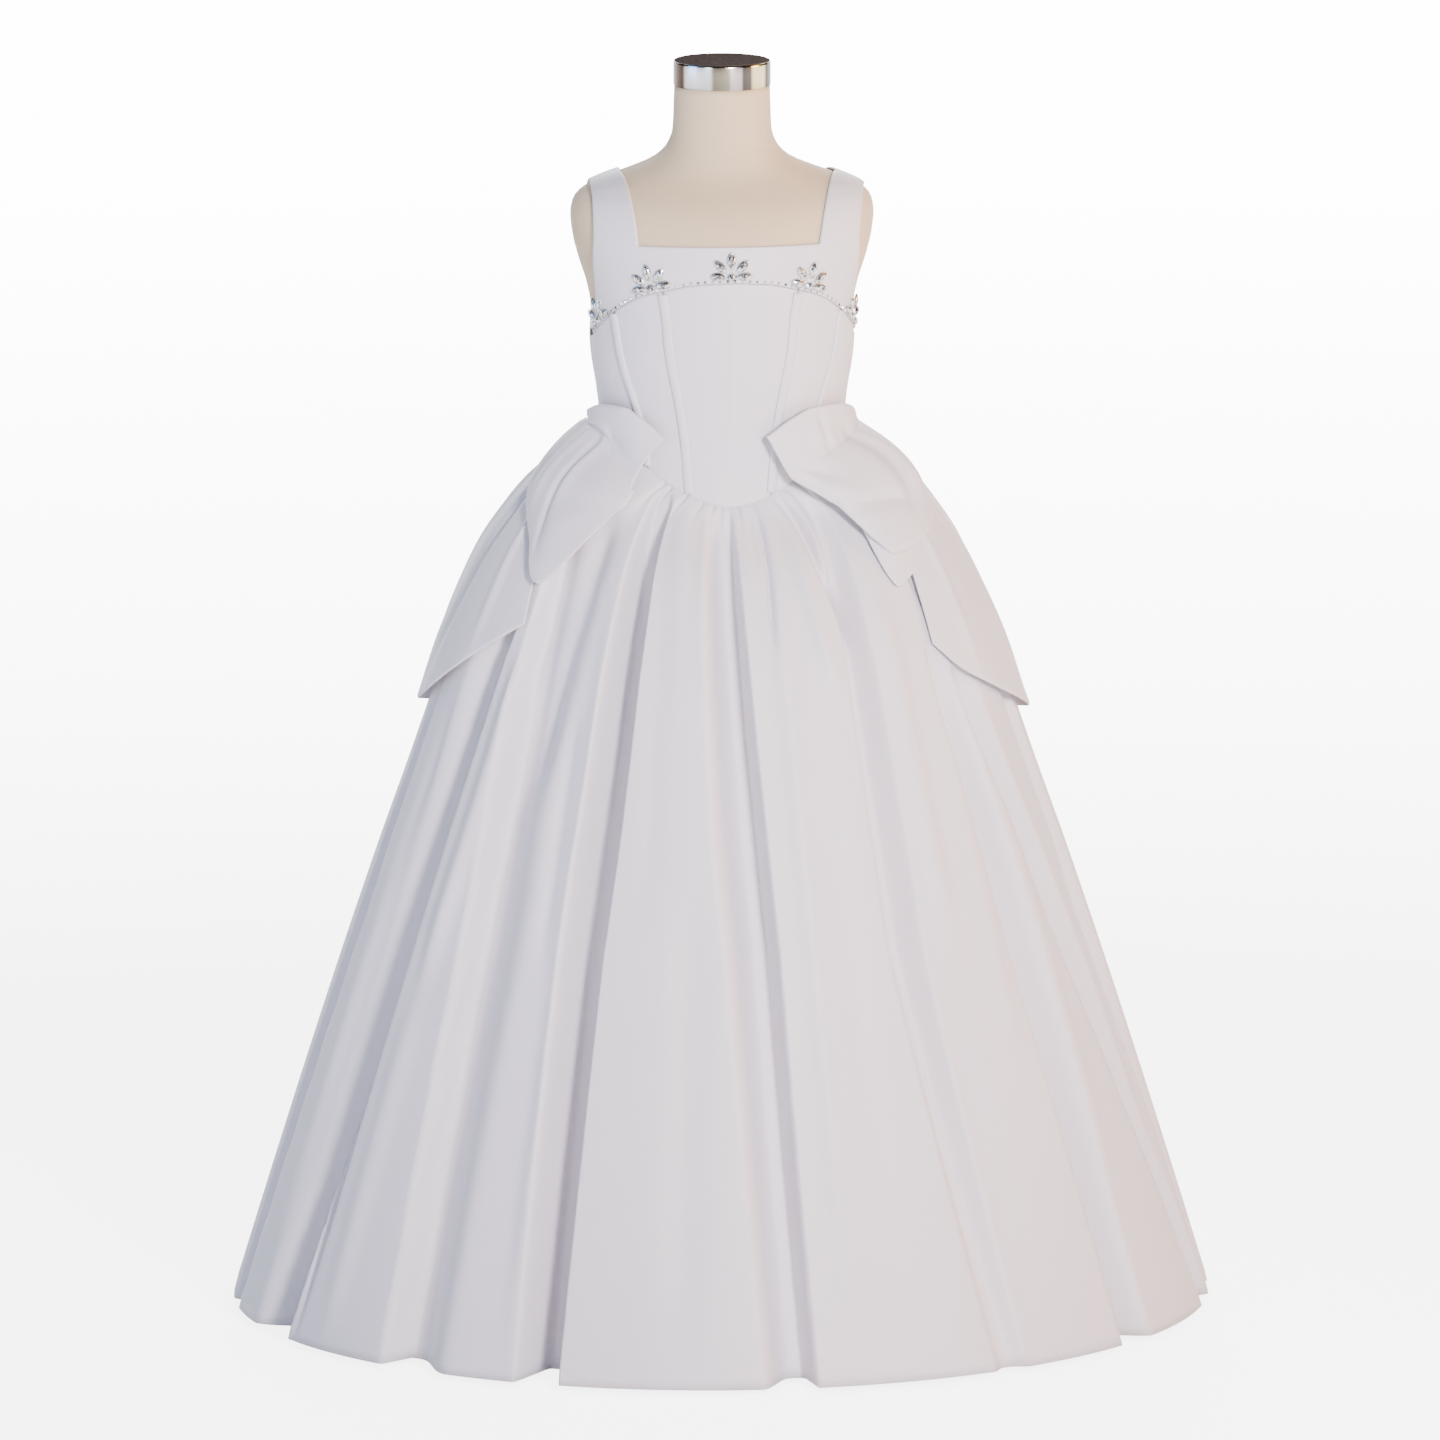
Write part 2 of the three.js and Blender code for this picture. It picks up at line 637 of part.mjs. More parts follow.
function flowers() {
  const geometry = flowerGeometry();
  for (const { name, angle, turn, seat } of flowerPlaces) {
    const lift = bodyEase + bodiceCloth + seat;
    const z = archZ(Math.abs(angle)) + flowerAboveSeam;
    const step = 0.5;
    const along = onSection(body, angle + step, z).sub(onSection(body, angle - step, z));
    const down = onSection(body, angle, z - step).sub(onSection(body, angle, z + step));
    const normal = down.cross(along).normalize();
    const across = new THREE.Vector3(0, 0, 1).cross(normal).normalize();
    const upward = normal.clone().cross(across);
    const mesh = add(name, geometry, crystal);
    mesh.quaternion.setFromRotationMatrix(new THREE.Matrix4().makeBasis(across, upward, normal));
    mesh.rotateZ(radians(turn));
    mesh.position.copy(onSection(body, angle, z).addScaledVector(normal, lift));
  }
}

function turned(points, sides) {
  return new THREE.LatheGeometry(points.map(([r, z]) => new THREE.Vector2(r, z)), sides).rotateX(Math.PI / 2);
}

function dressForm() {
  const sides = 28;
  const levels = formSections.map(({ z }) => z);
  const rings = levels.map((z) => Array.from({ length: sides }, (_, i) => onSection(body, (i * 360) / sides, z)));
  const corners = [];
  rings.slice(1).forEach((upper, j) => {
    const lower = rings[j];
    for (let i = 0; i < sides; i += 1) {
      const k = (i + 1) % sides;
      corners.push(lower[i], lower[k], upper[k], lower[i], upper[k], upper[i]);
    }
  });
  for (let i = 1; i < sides - 1; i += 1) {
    corners.push(rings[0][0], rings[0][i + 1], rings[0][i]);
    const top = rings[rings.length - 1];
    corners.push(top[0], top[i], top[i + 1]);
  }
  const torso = new THREE.BufferGeometry().setFromPoints(corners);
  torso.computeVertexNormals();
  add('form_torso', torso, formCloth);

  const neckTop = levels[levels.length - 1];
  const cap = turned([
    [0, 0],
    [capRadius - 1.5, 0],
    [capRadius, 1.5],
    [capRadius, capHeight - 3],
    [capRadius - 1, capHeight - 1],
    [capRadius - 3, capHeight],
    [0, capHeight],
  ], 28);
  add('form_neck_cap', cap, polishedMetal).position.z = neckTop + seamGap;

  const poleLength = levels[0] - baseHeight - 2 * seamGap;
  const pole = new THREE.CylinderGeometry(poleRadius, poleRadius, poleLength, 24).rotateX(Math.PI / 2);
  add('form_pole', pole, paintedMetal).position.z = baseHeight + seamGap + poleLength / 2;
  const base = turned([
    [0, 0],
    [baseRadius - 1, 0],
    [baseRadius, 1],
    [baseRadius, baseHeight - 4],
    [baseRadius - 3, baseHeight - 1],
    [baseRadius - 8, baseHeight],
    [0, baseHeight],
  ], 32);
  add('form_base', base, paintedMetal);
}

function boxAt(width, depth, height, x, y, z) {
  return new THREE.BoxGeometry(width, depth, height).translate(x, y, z);
}

// Slider and pull are drawn with the hinge axis along X at the origin and the dress on the -Y side
function zipPieces() {
  const clear = 0.4;
  const sliderTop = -(zip.eyeRadius + clear);
  const postX = zip.eyeWidth / 2 + clear + zip.postWidth / 2;
  const bar = new THREE.CylinderGeometry(zip.barRadius, zip.barRadius, 2 * postX, 10).rotateZ(Math.PI / 2);
  const postDepth = zip.barRadius - sliderTop + 0.4;
  const posts = [-postX, postX].map((x) =>
    boxAt(zip.postWidth, postDepth, 2.4, x, zip.barRadius - postDepth / 2, 0));
  const plate = boxAt(zip.sliderWidth, zip.sliderDepth, zip.sliderHeight, 0, sliderTop - zip.sliderDepth / 2, 0);
  const slider = joined([plate, bar, ...posts]);

  const ring = new THREE.Shape();
  ring.absarc(0, 0, zip.eyeRadius, 0, 2 * Math.PI);
  ring.holes.push(new THREE.Path().absarc(0, 0, zip.eyeHole, 0, 2 * Math.PI, true));
  const eye = new THREE.ExtrudeGeometry(ring, { depth: zip.eyeWidth, bevelEnabled: false, curveSegments: 7 });
  eye.translate(0, 0, -zip.eyeWidth / 2).rotateY(Math.PI / 2);
  const tabY = -(zip.eyeRadius - zip.pullDepth / 2 - 0.3);
  const neck = boxAt(zip.eyeWidth, zip.pullDepth, 3.4, 0, tabY, -3.1);
  const tab = boxAt(zip.pullWidth, zip.pullDepth, zip.pullLength - 4, 0, tabY, -4 - (zip.pullLength - 4) / 2);
  const pull = joined([eye, neck, tab]);

  const plateBack = zip.sliderDepth - sliderTop;
  const assembly = new THREE.Group();
  assembly.position.set(0, body.back(zip.z) + bodyEase + bodiceCloth + seamGap + plateBack, zip.z);
  add('zip_slider', slider, polishedMetal, assembly);
  add('zip_pull', pull, polishedMetal, assembly);
  dress.add(assembly);
}

dressForm();
add('yoke_front', yokeFront(), satin);
bodiceFronts();
boneChannels();
bodiceBacks();
const sideGap = THREE.MathUtils.radToDeg(seamGap / 2 / body.side(waistBackZ));
add('skirt_front', skirtPanel(80, 10, -90 + sideGap, 90 - sideGap), satin);
add('skirt_back', skirtPanel(60, 9, 90 + sideGap, 270 - sideGap), satin);
for (const [name, flap] of Object.entries(flaps)) add(name, swag(flap), satin);
flowers();
zipPieces();

export default dress;
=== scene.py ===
import math

import bpy
import numpy as np
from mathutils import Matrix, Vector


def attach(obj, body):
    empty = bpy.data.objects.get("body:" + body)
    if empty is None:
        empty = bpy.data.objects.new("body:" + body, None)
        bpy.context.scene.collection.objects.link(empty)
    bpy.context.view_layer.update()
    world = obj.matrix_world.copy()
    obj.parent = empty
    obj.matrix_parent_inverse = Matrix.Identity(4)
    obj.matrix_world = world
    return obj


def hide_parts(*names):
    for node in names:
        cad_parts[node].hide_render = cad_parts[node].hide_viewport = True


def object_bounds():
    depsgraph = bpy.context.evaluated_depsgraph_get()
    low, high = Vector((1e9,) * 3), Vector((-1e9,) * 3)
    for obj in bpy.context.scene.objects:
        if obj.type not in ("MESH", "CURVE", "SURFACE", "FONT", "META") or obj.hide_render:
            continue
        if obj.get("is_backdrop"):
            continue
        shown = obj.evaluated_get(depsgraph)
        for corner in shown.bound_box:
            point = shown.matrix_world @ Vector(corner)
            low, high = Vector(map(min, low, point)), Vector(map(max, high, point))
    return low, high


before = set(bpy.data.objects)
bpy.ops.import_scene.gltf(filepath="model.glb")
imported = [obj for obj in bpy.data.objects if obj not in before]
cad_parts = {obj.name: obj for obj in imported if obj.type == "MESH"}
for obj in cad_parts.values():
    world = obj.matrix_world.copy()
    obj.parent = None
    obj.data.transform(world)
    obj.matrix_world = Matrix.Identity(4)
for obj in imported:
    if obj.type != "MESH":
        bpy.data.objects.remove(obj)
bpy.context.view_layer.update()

# White satin communion dress on a limbless child's dress form.
# Shapes are worked out in millimetres and stored in metres. Angles run round the body in degrees:
# 0 is the centre front (-Y), 90 the side at +X, 180 the centre back. "s" runs along rising angles, "t" downward.

mm = 0.001


# Small tools

def tableOf(names, rows):  # the columns of a table, by name
    return dict(zip(names.split(), np.array(rows, float).T))


def smoothCurve(xs, ys):  # cubic between rows with harmonic-mean slopes, so it never overshoots; straight past the ends
    rises = np.diff(ys) / np.diff(xs)
    before = np.concatenate([rises[:1], rises])
    after = np.concatenate([rises, rises[-1:]])
    same = before * after > 0
    slopes = np.where(same, 2 * before * after / np.where(same, before + after, 1), 0)

    def at(x):
        x = np.asarray(x, float)
        i = np.clip(np.searchsorted(xs, x, side="right") - 1, 0, len(xs) - 2)
        width = xs[i + 1] - xs[i]
        p = np.clip((x - xs[i]) / width, 0, 1)
        q = 1 - p
        ends = ys[i] * (1 + 2 * p) * q * q + ys[i + 1] * (1 + 2 * q) * p * p
        inside = ends + width * p * q * (slopes[i] * q - slopes[i + 1] * p)
        return inside + slopes[0] * np.minimum(x - xs[0], 0) + slopes[-1] * np.maximum(x - xs[-1], 0)
    return at


def mix(a, b, part):  # a at 0, b at 1
    return a + (b - a) * part


def smoothStep(low, high, x):  # 0 up to low, 1 from high on, and 3 p squared less 2 p cubed between
    p = np.clip((x - low) / (high - low), 0, 1)
    return p * p * (3 - 2 * p)


def unit(v):  # divided by its length
    return v / np.maximum(np.linalg.norm(v, axis=-1, keepdims=True), 1e-12)


def normalOf(place, s, t, step=1e-3):  # outward normal: downward tangent crossed with the one along rising angles
    along = place(s + step, t) - place(s - step, t)
    down = place(s, t + step) - place(s, t - step)
    return unit(np.cross(down, along))


def easedSteps(count, ease):  # 0 to 1 in even steps that close up a little towards both ends
    p = np.linspace(0, 1, count + 1)
    return mix(p, p * p * (3 - 2 * p), ease)


def inScene(name, data):
    obj = bpy.data.objects.new(name, data)
    bpy.context.collection.objects.link(obj)
    return obj


def newObject(name, points, quads, uv=None):  # points in mm, (n, 3); quads (m, 4)
    mesh = bpy.data.meshes.new(name)
    mesh.vertices.add(len(points))
    mesh.vertices.foreach_set("co", (points * mm).astype(np.float32).ravel())
    mesh.loops.add(quads.size)
    mesh.loops.foreach_set("vertex_index", quads.astype(np.int32).ravel())
    mesh.polygons.add(len(quads))
    mesh.polygons.foreach_set("loop_start", np.arange(0, quads.size, 4, dtype=np.int32))
    if uv is not None:
        layer = mesh.uv_layers.new(name="UVMap")
        layer.data.foreach_set("uv", uv[quads.ravel()].astype(np.float32).ravel())
    mesh.update(calc_edges=True)
    mesh.validate()
    mesh.polygons.foreach_set("use_smooth", np.ones(len(mesh.polygons), bool))
    return inScene(name, mesh)


def gridQuads(columns, rows, keep=None):  # vertex (i, j) is number j * width + i; outward by down x along
    width = columns + 1
    i, j = np.meshgrid(np.arange(columns), np.arange(rows))
    quads = np.stack([j * width + i, (j + 1) * width + i, (j + 1) * width + i + 1, j * width + i + 1], -1)
    if keep is not None:
        quads = quads[keep]
    return quads.reshape(-1, 4)


def closedRings(rings):  # a solid of rings from below to above, (count, sides, 3), closed by a fan at both ends
    count, sides = rings.shape[:2]
    i = np.arange(sides)
    k = (i + 1) % sides
    j = np.arange(count - 1)[:, None] * sides
    quads = np.stack([j + i, j + k, j + sides + k, j + sides + i], -1).reshape(-1, 4)
    last, low, high = (count - 1) * sides, count * sides, count * sides + 1
    fans = np.concatenate([np.stack([i * 0 + low, k, i], -1), np.stack([i * 0 + high, last + i, last + k], -1)])
    ends = [[0, 0, rings[0, 0, 2]], [0, 0, rings[-1, 0, 2]]]
    return np.concatenate([rings.reshape(-1, 3), ends]), quads, fans


def joinedParts(name, parts, smooth=False):  # (points, quads, triangles) of one or more solids in one mesh
    points, faces, start = [], [], 0
    for p, quads, triangles in parts:
        points.append(p)
        faces += (quads + start).tolist() + (triangles + start).tolist()
        start += len(p)
    mesh = bpy.data.meshes.new(name)
    mesh.from_pydata((np.concatenate(points) * mm).tolist(), [], faces)
    mesh.update()
    mesh.polygons.foreach_set("use_smooth", np.full(len(mesh.polygons), smooth))
    return inScene(name, mesh)


def clothWall(name, place, columns, rows, thickness, edge=None, keep=None, ease=0):
    # A sheet of place(s, t) on a grid, given its thickness inward by Solidify. uv holds s and t
    s, t = np.meshgrid(easedSteps(columns, ease), easedSteps(rows, ease))
    points = place(s, t)
    if edge is not None:
        points = edge(points, place, s, t)
    uv = np.stack([s.ravel(), 1 - t.ravel()], -1)
    quads = gridQuads(columns, rows, keep)
    used = np.unique(quads)
    renumber = np.zeros(points.shape[0] * points.shape[1], int)
    renumber[used] = np.arange(len(used))
    obj = newObject(name, points.reshape(-1, 3)[used], renumber[quads], uv[used])
    wall = obj.modifiers.new("Solidify", "SOLIDIFY")
    wall.thickness = thickness * mm
    wall.offset = -1
    wall.use_even_offset = False
    return obj


def edgeDrop(distance, radius):  # how far an edge sinks on a quarter circle, at a distance from its fold
    part = np.clip(1 - distance / radius, 0, 1)
    return radius * (1 - np.sqrt(1 - 0.98 * part * part))


def rolledEdges(sizes, radii):
    # sizes is the sheet's length and height in mm; radii are those of its left, upper, right and lower edges
    length, height = sizes

    def roll(points, place, s, t):
        drop = np.zeros(s.shape)
        distances = [s * length, t * height, (1 - s) * length, (1 - t) * height]
        for distance, radius in zip(distances, radii):
            if radius > 0:
                drop += edgeDrop(distance, radius)
        return points - normalOf(place, s, t) * drop[..., None]
    return roll


def finishPiece(obj, material, nodes):  # every added piece rides on the dressed form
    obj.data.materials.append(material)
    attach(obj, "dress_on_form")
    if nodes:
        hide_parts(*nodes)


def titled(name):  # left_top as LeftTop
    return name.replace("_", " ").title().replace(" ", "")


# Shader tools

class Value:  # wraps a socket so that sums and products can be written as Python
    def __init__(self, graph, socket):
        self.graph, self.socket = graph, socket

    def maths(self, operation, *others, reverse=False):
        inputs = [self, *others]
        if reverse:
            inputs.reverse()
        return self.graph.node("ShaderNodeMath", dict(operation=operation), dict(enumerate(inputs)))

    def __add__(self, other): return self.maths("ADD", other)
    def __radd__(self, other): return self.maths("ADD", other, reverse=True)
    def __sub__(self, other): return self.maths("SUBTRACT", other)
    def __rsub__(self, other): return self.maths("SUBTRACT", other, reverse=True)
    def __mul__(self, other): return self.maths("MULTIPLY", other)
    def __truediv__(self, other): return self.maths("DIVIDE", other)
    def clamp(self): return self.graph.node("ShaderNodeClamp", {}, {0: self})
    def sine(self): return self.maths("SINE")


class Graph:  # a material's nodes
    def __init__(self, name):
        self.material = bpy.data.materials.new(name)
        self.material.use_nodes = True
        self.tree = self.material.node_tree
        self.tree.nodes.clear()

    def node(self, kind, settings, sockets, output=0):
        made = self.tree.nodes.new(kind)
        for key, value in settings.items():
            if key == "stops":
                ramp = made.color_ramp
                for i, (place, color) in enumerate(value):
                    stop = ramp.elements[i] if i < 2 else ramp.elements.new(place)
                    stop.position, stop.color = place, color
            else:
                setattr(made, key, value)
        for key, value in sockets.items():
            if isinstance(value, Value):
                self.tree.links.new(value.socket, made.inputs[key])
            else:
                made.inputs[key].default_value = value
        return Value(self, made.outputs[output]) if len(made.outputs) else None

    def coords(self):  # Object coordinates, in metres
        return self.node("ShaderNodeTexCoord", {}, {}, "Object")

    def axes(self):
        split = self.node("ShaderNodeSeparateXYZ", {}, {0: self.coords()})
        return [Value(self, split.socket.node.outputs[axis]) for axis in "XYZ"]

    def place(self, scale=(1, 1, 1), turn=(0, 0, 0)):
        return self.node("ShaderNodeMapping", {}, {"Vector": self.coords(), "Scale": scale, "Rotation": turn})

    def noise(self, vector, scale, detail=3, rough=0.5):
        return self.node("ShaderNodeTexNoise", {}, {"Vector": vector, "Scale": scale, "Detail": detail,
                                                    "Roughness": rough}, "Fac")

    def colors(self, factor, first, second):
        return self.node("ShaderNodeMix", dict(data_type="RGBA"), {"Factor": factor, 6: (*first, 1),
                                                                   7: (*second, 1)}, 2)

    def bump(self, height, strength, distance, under=None):
        sockets = {"Height": height, "Strength": strength, "Distance": distance}
        if under is not None:
            sockets["Normal"] = under
        return self.node("ShaderNodeBump", {}, sockets)

    def finish(self, **sockets):  # Principled shader to the output; underscores stand for spaces
        shader = self.node("ShaderNodeBsdfPrincipled", {}, {k.replace("_", " "): v for k, v in sockets.items()})
        self.node("ShaderNodeOutputMaterial", {}, {"Surface": shader})
        return self.material


# Materials

def dimmed(color, part):
    return tuple(c * part for c in color)


satinLook = dict(white=(0.745, 0.705, 0.765), shade=(0.70, 0.665, 0.72), roughness=0.5, sheen=0.15,
                 weaveSize=2600, weaveDepth=0.00003, crumpleSize=38, crumpleDepth=0.0011)


def makeSatin():
    g = Graph("matteSatin")
    look = satinLook
    cloudy = g.noise(g.place(), 7, 2)
    weave = g.noise(g.place((1, 1, 0.35)), look["weaveSize"], 1)  # long floats of the satin weave
    crumple = g.noise(g.place((1, 1, 0.6)), look["crumpleSize"], 3, 0.45)
    color = g.colors(cloudy, look["shade"], look["white"])
    rough = look["roughness"] + (cloudy - 0.5) * 0.08 + (weave - 0.5) * 0.1
    soft = g.bump(crumple, 0.22, look["crumpleDepth"])
    fine = g.bump(weave, 0.35, look["weaveDepth"], soft)
    return g.finish(Base_Color=color, Roughness=rough, Normal=fine, Sheen_Weight=look["sheen"],
                    Sheen_Roughness=0.35, Specular_IOR_Level=0.5)


linenLook = dict(thread=(0.72, 0.56, 0.375), gap=(0.60, 0.455, 0.29), perMetre=900, depth=0.00012)


def makeLinen():
    g = Graph("formLinen")
    look = linenLook
    x, y, z = g.axes()
    turns = 2 * math.pi * look["perMetre"]
    warp = ((x + y) * turns).sine()
    weft = (z * turns).sine()
    weave = warp * weft * 0.5 + 0.5
    slub = g.noise(g.place((1, 1, 6)), 60, 3)
    cloudy = g.noise(g.place(), 9, 3)
    mask = (weave * 0.6 + slub * 0.5 + cloudy * 0.3 - 0.2).clamp()
    color = g.colors(mask, look["gap"], look["thread"])
    normal = g.bump(weave + slub * 0.7, 0.5, look["depth"])
    return g.finish(Base_Color=color, Roughness=0.88 - slub * 0.08, Normal=normal, Sheen_Weight=0.2,
                    Sheen_Roughness=0.5)


capLook = dict(roughness=0.13, lid=(0.088, 0.074, 0.070), lidRoughness=0.5, reflectionBands=[
    # angle round the cap from the centre front, then the painted reflection tone of the metal there
    (-180, (0.30, 0.27, 0.22)), (-150, (0.86, 0.84, 0.82)), (-128, (0.16, 0.12, 0.10)), (-96, (0.045, 0.03, 0.025)),
    (-58, (0.06, 0.032, 0.022)), (-52, (0.62, 0.60, 0.60)), (-38, (0.74, 0.75, 0.84)), (-19, (0.68, 0.68, 0.74)),
    (-15, (0.24, 0.21, 0.15)), (3, (0.33, 0.29, 0.22)), (7, (0.72, 0.62, 0.60)), (18, (0.66, 0.56, 0.54)),
    (21, (0.13, 0.105, 0.10)), (31, (0.17, 0.14, 0.12)), (35, (0.98, 0.90, 0.50)), (54, (0.98, 0.88, 0.46)),
    (59, (0.12, 0.08, 0.065)), (92, (0.07, 0.045, 0.035)), (112, (0.62, 0.60, 0.60)), (140, (0.20, 0.17, 0.15)),
    (180, (0.30, 0.27, 0.22))])


def makeCapMetal():  # polished metal with painted reflections: bands of painted light and dark tone round the rim
    g = Graph("capMetal")
    look = capLook
    x, y, _ = g.axes()
    part = x.maths("ARCTAN2", y * -1) * (0.5 / math.pi) + 0.5
    stops = [(angle / 360 + 0.5, (*tone, 1)) for angle, tone in look["reflectionBands"]]
    # rim holds the painted reflections: light and dark bands set by the angle round the cap
    rim = g.node("ShaderNodeValToRGB", dict(stops=stops), {0: part})
    spun = g.noise(g.place((1, 1, 40)), 30, 2)  # fine turned lines round the cap
    rough = look["roughness"] + spun * 0.08
    return g.finish(Base_Color=rim, Roughness=rough, Metallic=1.0)


def makeDarkLid():  # the dull brown-grey lid, with a faint grain across it
    g = Graph("darkLid")
    grain = g.noise(g.place((1, 0.12, 1), (0, 0, 0.6)), 260, 3)
    color = g.colors(grain, dimmed(capLook["lid"], 0.75), dimmed(capLook["lid"], 1.25))
    return g.finish(Base_Color=color, Roughness=capLook["lidRoughness"] + grain * 0.15, Specular_IOR_Level=0.0,
                    Normal=g.bump(grain, 0.1, 0.0002))


def makeStandPaint():
    g = Graph("standPaint")
    peel = g.noise(g.place(), 420, 2)
    worn = g.noise(g.place(), 14, 4)
    color = g.colors(worn, (0.018, 0.018, 0.02), (0.032, 0.032, 0.034))
    return g.finish(Base_Color=color, Roughness=0.38 + worn * 0.15, Normal=g.bump(peel, 0.2, 0.0002),
                    Coat_Weight=0.2, Coat_Roughness=0.3)


# dark and light are the tones of the painted reflections on the stones
crystalLook = dict(dark=(0.13, 0.135, 0.14), light=(0.95, 0.96, 0.98), reflectionPatchSize=430, contrast=7)


def makeCrystal():  # stones with painted reflections: noise spots of painted bright and dark reflection over the facets
    g = Graph("paintedReflectionCrystal")
    look = crystalLook
    # painted reflections: bright and dark noise blotches stand in for what the facets reflect
    paintedReflections = ((g.noise(g.place(), look["reflectionPatchSize"], 1) - 0.46) * look["contrast"] + 0.5).clamp()
    color = g.colors(paintedReflections, look["dark"], look["light"])
    return g.finish(Base_Color=color, Roughness=0.05 + paintedReflections * 0.05, Metallic=0.8, Coat_Weight=1.0,
                    Coat_Roughness=0.03)


def makeNickel():
    g = Graph("nickel")
    brushed = g.noise(g.place((1, 1, 0.1)), 1500, 2)
    color = g.colors(brushed, (0.58, 0.58, 0.60), (0.72, 0.72, 0.74))
    return g.finish(Base_Color=color, Roughness=0.24 + brushed * 0.12, Metallic=1.0,
                    Normal=g.bump(brushed, 0.15, 0.00005))


satin = makeSatin()
linen = makeLinen()
capMetal = makeCapMetal()
darkLid = makeDarkLid()
standPaint = makeStandPaint()
crystal = makeCrystal()
nickel = makeNickel()
print("materials made")


# The smooth shapes that the cloth lies on

cut = dict(seamGap=0.3, bodyEase=1.2, bodiceCloth=1.6, skirtCloth=2.0, swagCloth=1.8, swagWall=1.1, hemZ=6,
           neckFrontZ=932, neckBackZ=930, waistPointZ=708, waistRise=62, waistBackZ=765, waistSwing=14, sideTopZ=844)
strap = dict(innerX=76, outerX=112, shoulderInnerX=88, shoulderOuterX=113, armholeAngle=80, lowerInner=54,
             rightShift=8)

formSections = tableOf("z side front back", [
    [545, 94, 70, 76], [556, 108, 81, 88], [585, 116, 88, 97], [640, 115.5, 89, 99], [690, 110, 86, 93],
    [735, 103.5, 83, 83], [750, 102.3, 82.3, 79.7], [765, 102, 82, 78], [782, 103, 82.8, 77.6],
    [800, 105, 84, 78], [833, 110, 88, 81], [868, 112, 90, 85], [890, 116, 90.5, 87], [912, 123, 89.5, 86.5],
    [932, 128, 86, 85], [950, 130, 79, 80], [962, 128, 71, 74], [972, 120, 61, 66], [980, 104, 53, 58],
    [988, 81, 47, 52], [998, 58, 43.5, 47], [1009, 47, 41.5, 44], [1022, 42.5, 40.5, 42], [1058.4, 41, 40.5, 41]])
hipSections = tableOf("z side front back", [
    [6, 423, 360, 392], [122, 387, 323, 360], [263, 342, 277, 317], [403, 295, 231, 272], [473, 270, 208, 250],
    [525, 252, 189, 232], [578, 234, 170, 212], [620, 216, 152, 194], [660, 197, 132, 174], [690, 178, 110, 157],
    [706, 167, 99, 146], [720, 156, 96, 134], [735, 141, 93, 120], [745, 130, 90, 109], [755, 119, 88, 98],
    [765, 111, 87, 88], [775, 107.5, 86.5, 83.5], [800, 108.5, 87, 81.5]])
archSeam = tableOf("angle z", [
    [0, 902], [15, 900], [28, 894.5], [41, 887.5], [57, 873], [70, 859], [80, 848], [90, 844]])
boneSeams = tableOf("z inner outer", [
    [705, 18, 39], [735, 20, 41], [760, 21.5, 43], [790, 23.5, 47], [817, 25.5, 51.5], [845, 27.5, 55],
    [872, 28.5, 57.5], [903, 29.5, 59]])


def sectionsOf(rows):
    return {k: smoothCurve(rows["z"], rows[k]) for k in ("side", "front", "back")}


body = sectionsOf(formSections)
hip = sectionsOf(hipSections)
archZ = smoothCurve(archSeam["angle"], archSeam["z"])
innerSeam = smoothCurve(boneSeams["z"], boneSeams["inner"])
outerSeam = smoothCurve(boneSeams["z"], boneSeams["outer"])


def onSection(section, angle, z, out=0):  # half an ellipse before the side seams and half another behind them
    a = np.radians(angle)
    z = z + 0 * a
    depth = np.where(np.cos(a) > 0, section["front"](z), section["back"](z))
    return np.stack([(section["side"](z) + out) * np.sin(a), -(depth + out) * np.cos(a), z], -1)


def waistZ(angle):  # a point in front: its height plus the rise times the sine to 1.7; flatter behind
    a = np.radians(angle)
    side = np.abs(np.sin(a))
    front = cut["waistPointZ"] + cut["waistRise"] * side ** 1.7
    back = mix(cut["waistBackZ"], cut["waistPointZ"] + cut["waistRise"], side ** 2)
    return np.where(np.cos(a) > 0, front, back)


def creaseHeights(s, t, sizes, creases):
    # Soft ridges (+) and troughs (-): each follows a bowed line from (s0, t0) to (s1, t1), a bell curve across it
    # that fades out at both ends. width and height are in mm, and bow is the bend as a part of the line's length
    length, height = sizes
    total = np.zeros(np.broadcast(s, t).shape)
    for s0, t0, s1, t1, width, rise, bow in creases:
        dx, dy = (s1 - s0) * length, (t1 - t0) * height
        run = math.hypot(dx, dy)
        px, py = (s - s0) * length, (t - t0) * height
        p = (px * dx + py * dy) / run ** 2
        across = (px * dy - py * dx) / run - bow * run * 4 * p * (1 - p)
        fade = smoothStep(-0.08, 0.28, p) * smoothStep(-0.08, 0.28, 1 - p)
        total += rise * np.exp(-(across / width) ** 2) * fade
    return total


def lifted(place, heights, base):  # the same surface moved out along its normal by base + heights(s, t)
    return lambda s, t: place(s, t) + normalOf(place, s, t) * (base + heights(s, t))[..., None]


def outwardAt(surface, angle, z, step):  # the outward normal of surface(angle, z)
    along = surface(angle + step, z) - surface(angle - step, z)
    down = surface(angle, z - step) - surface(angle, z + step)
    return unit(np.cross(down, along))


def mirrored(place):  # the same piece on the other side of the body
    def other(s, t):
        point = place(1 - s, t)
        point[..., 0] *= -1
        return point
    return other


bothSides = (("Right", lambda place: place), ("Left", mirrored))


# Skirt

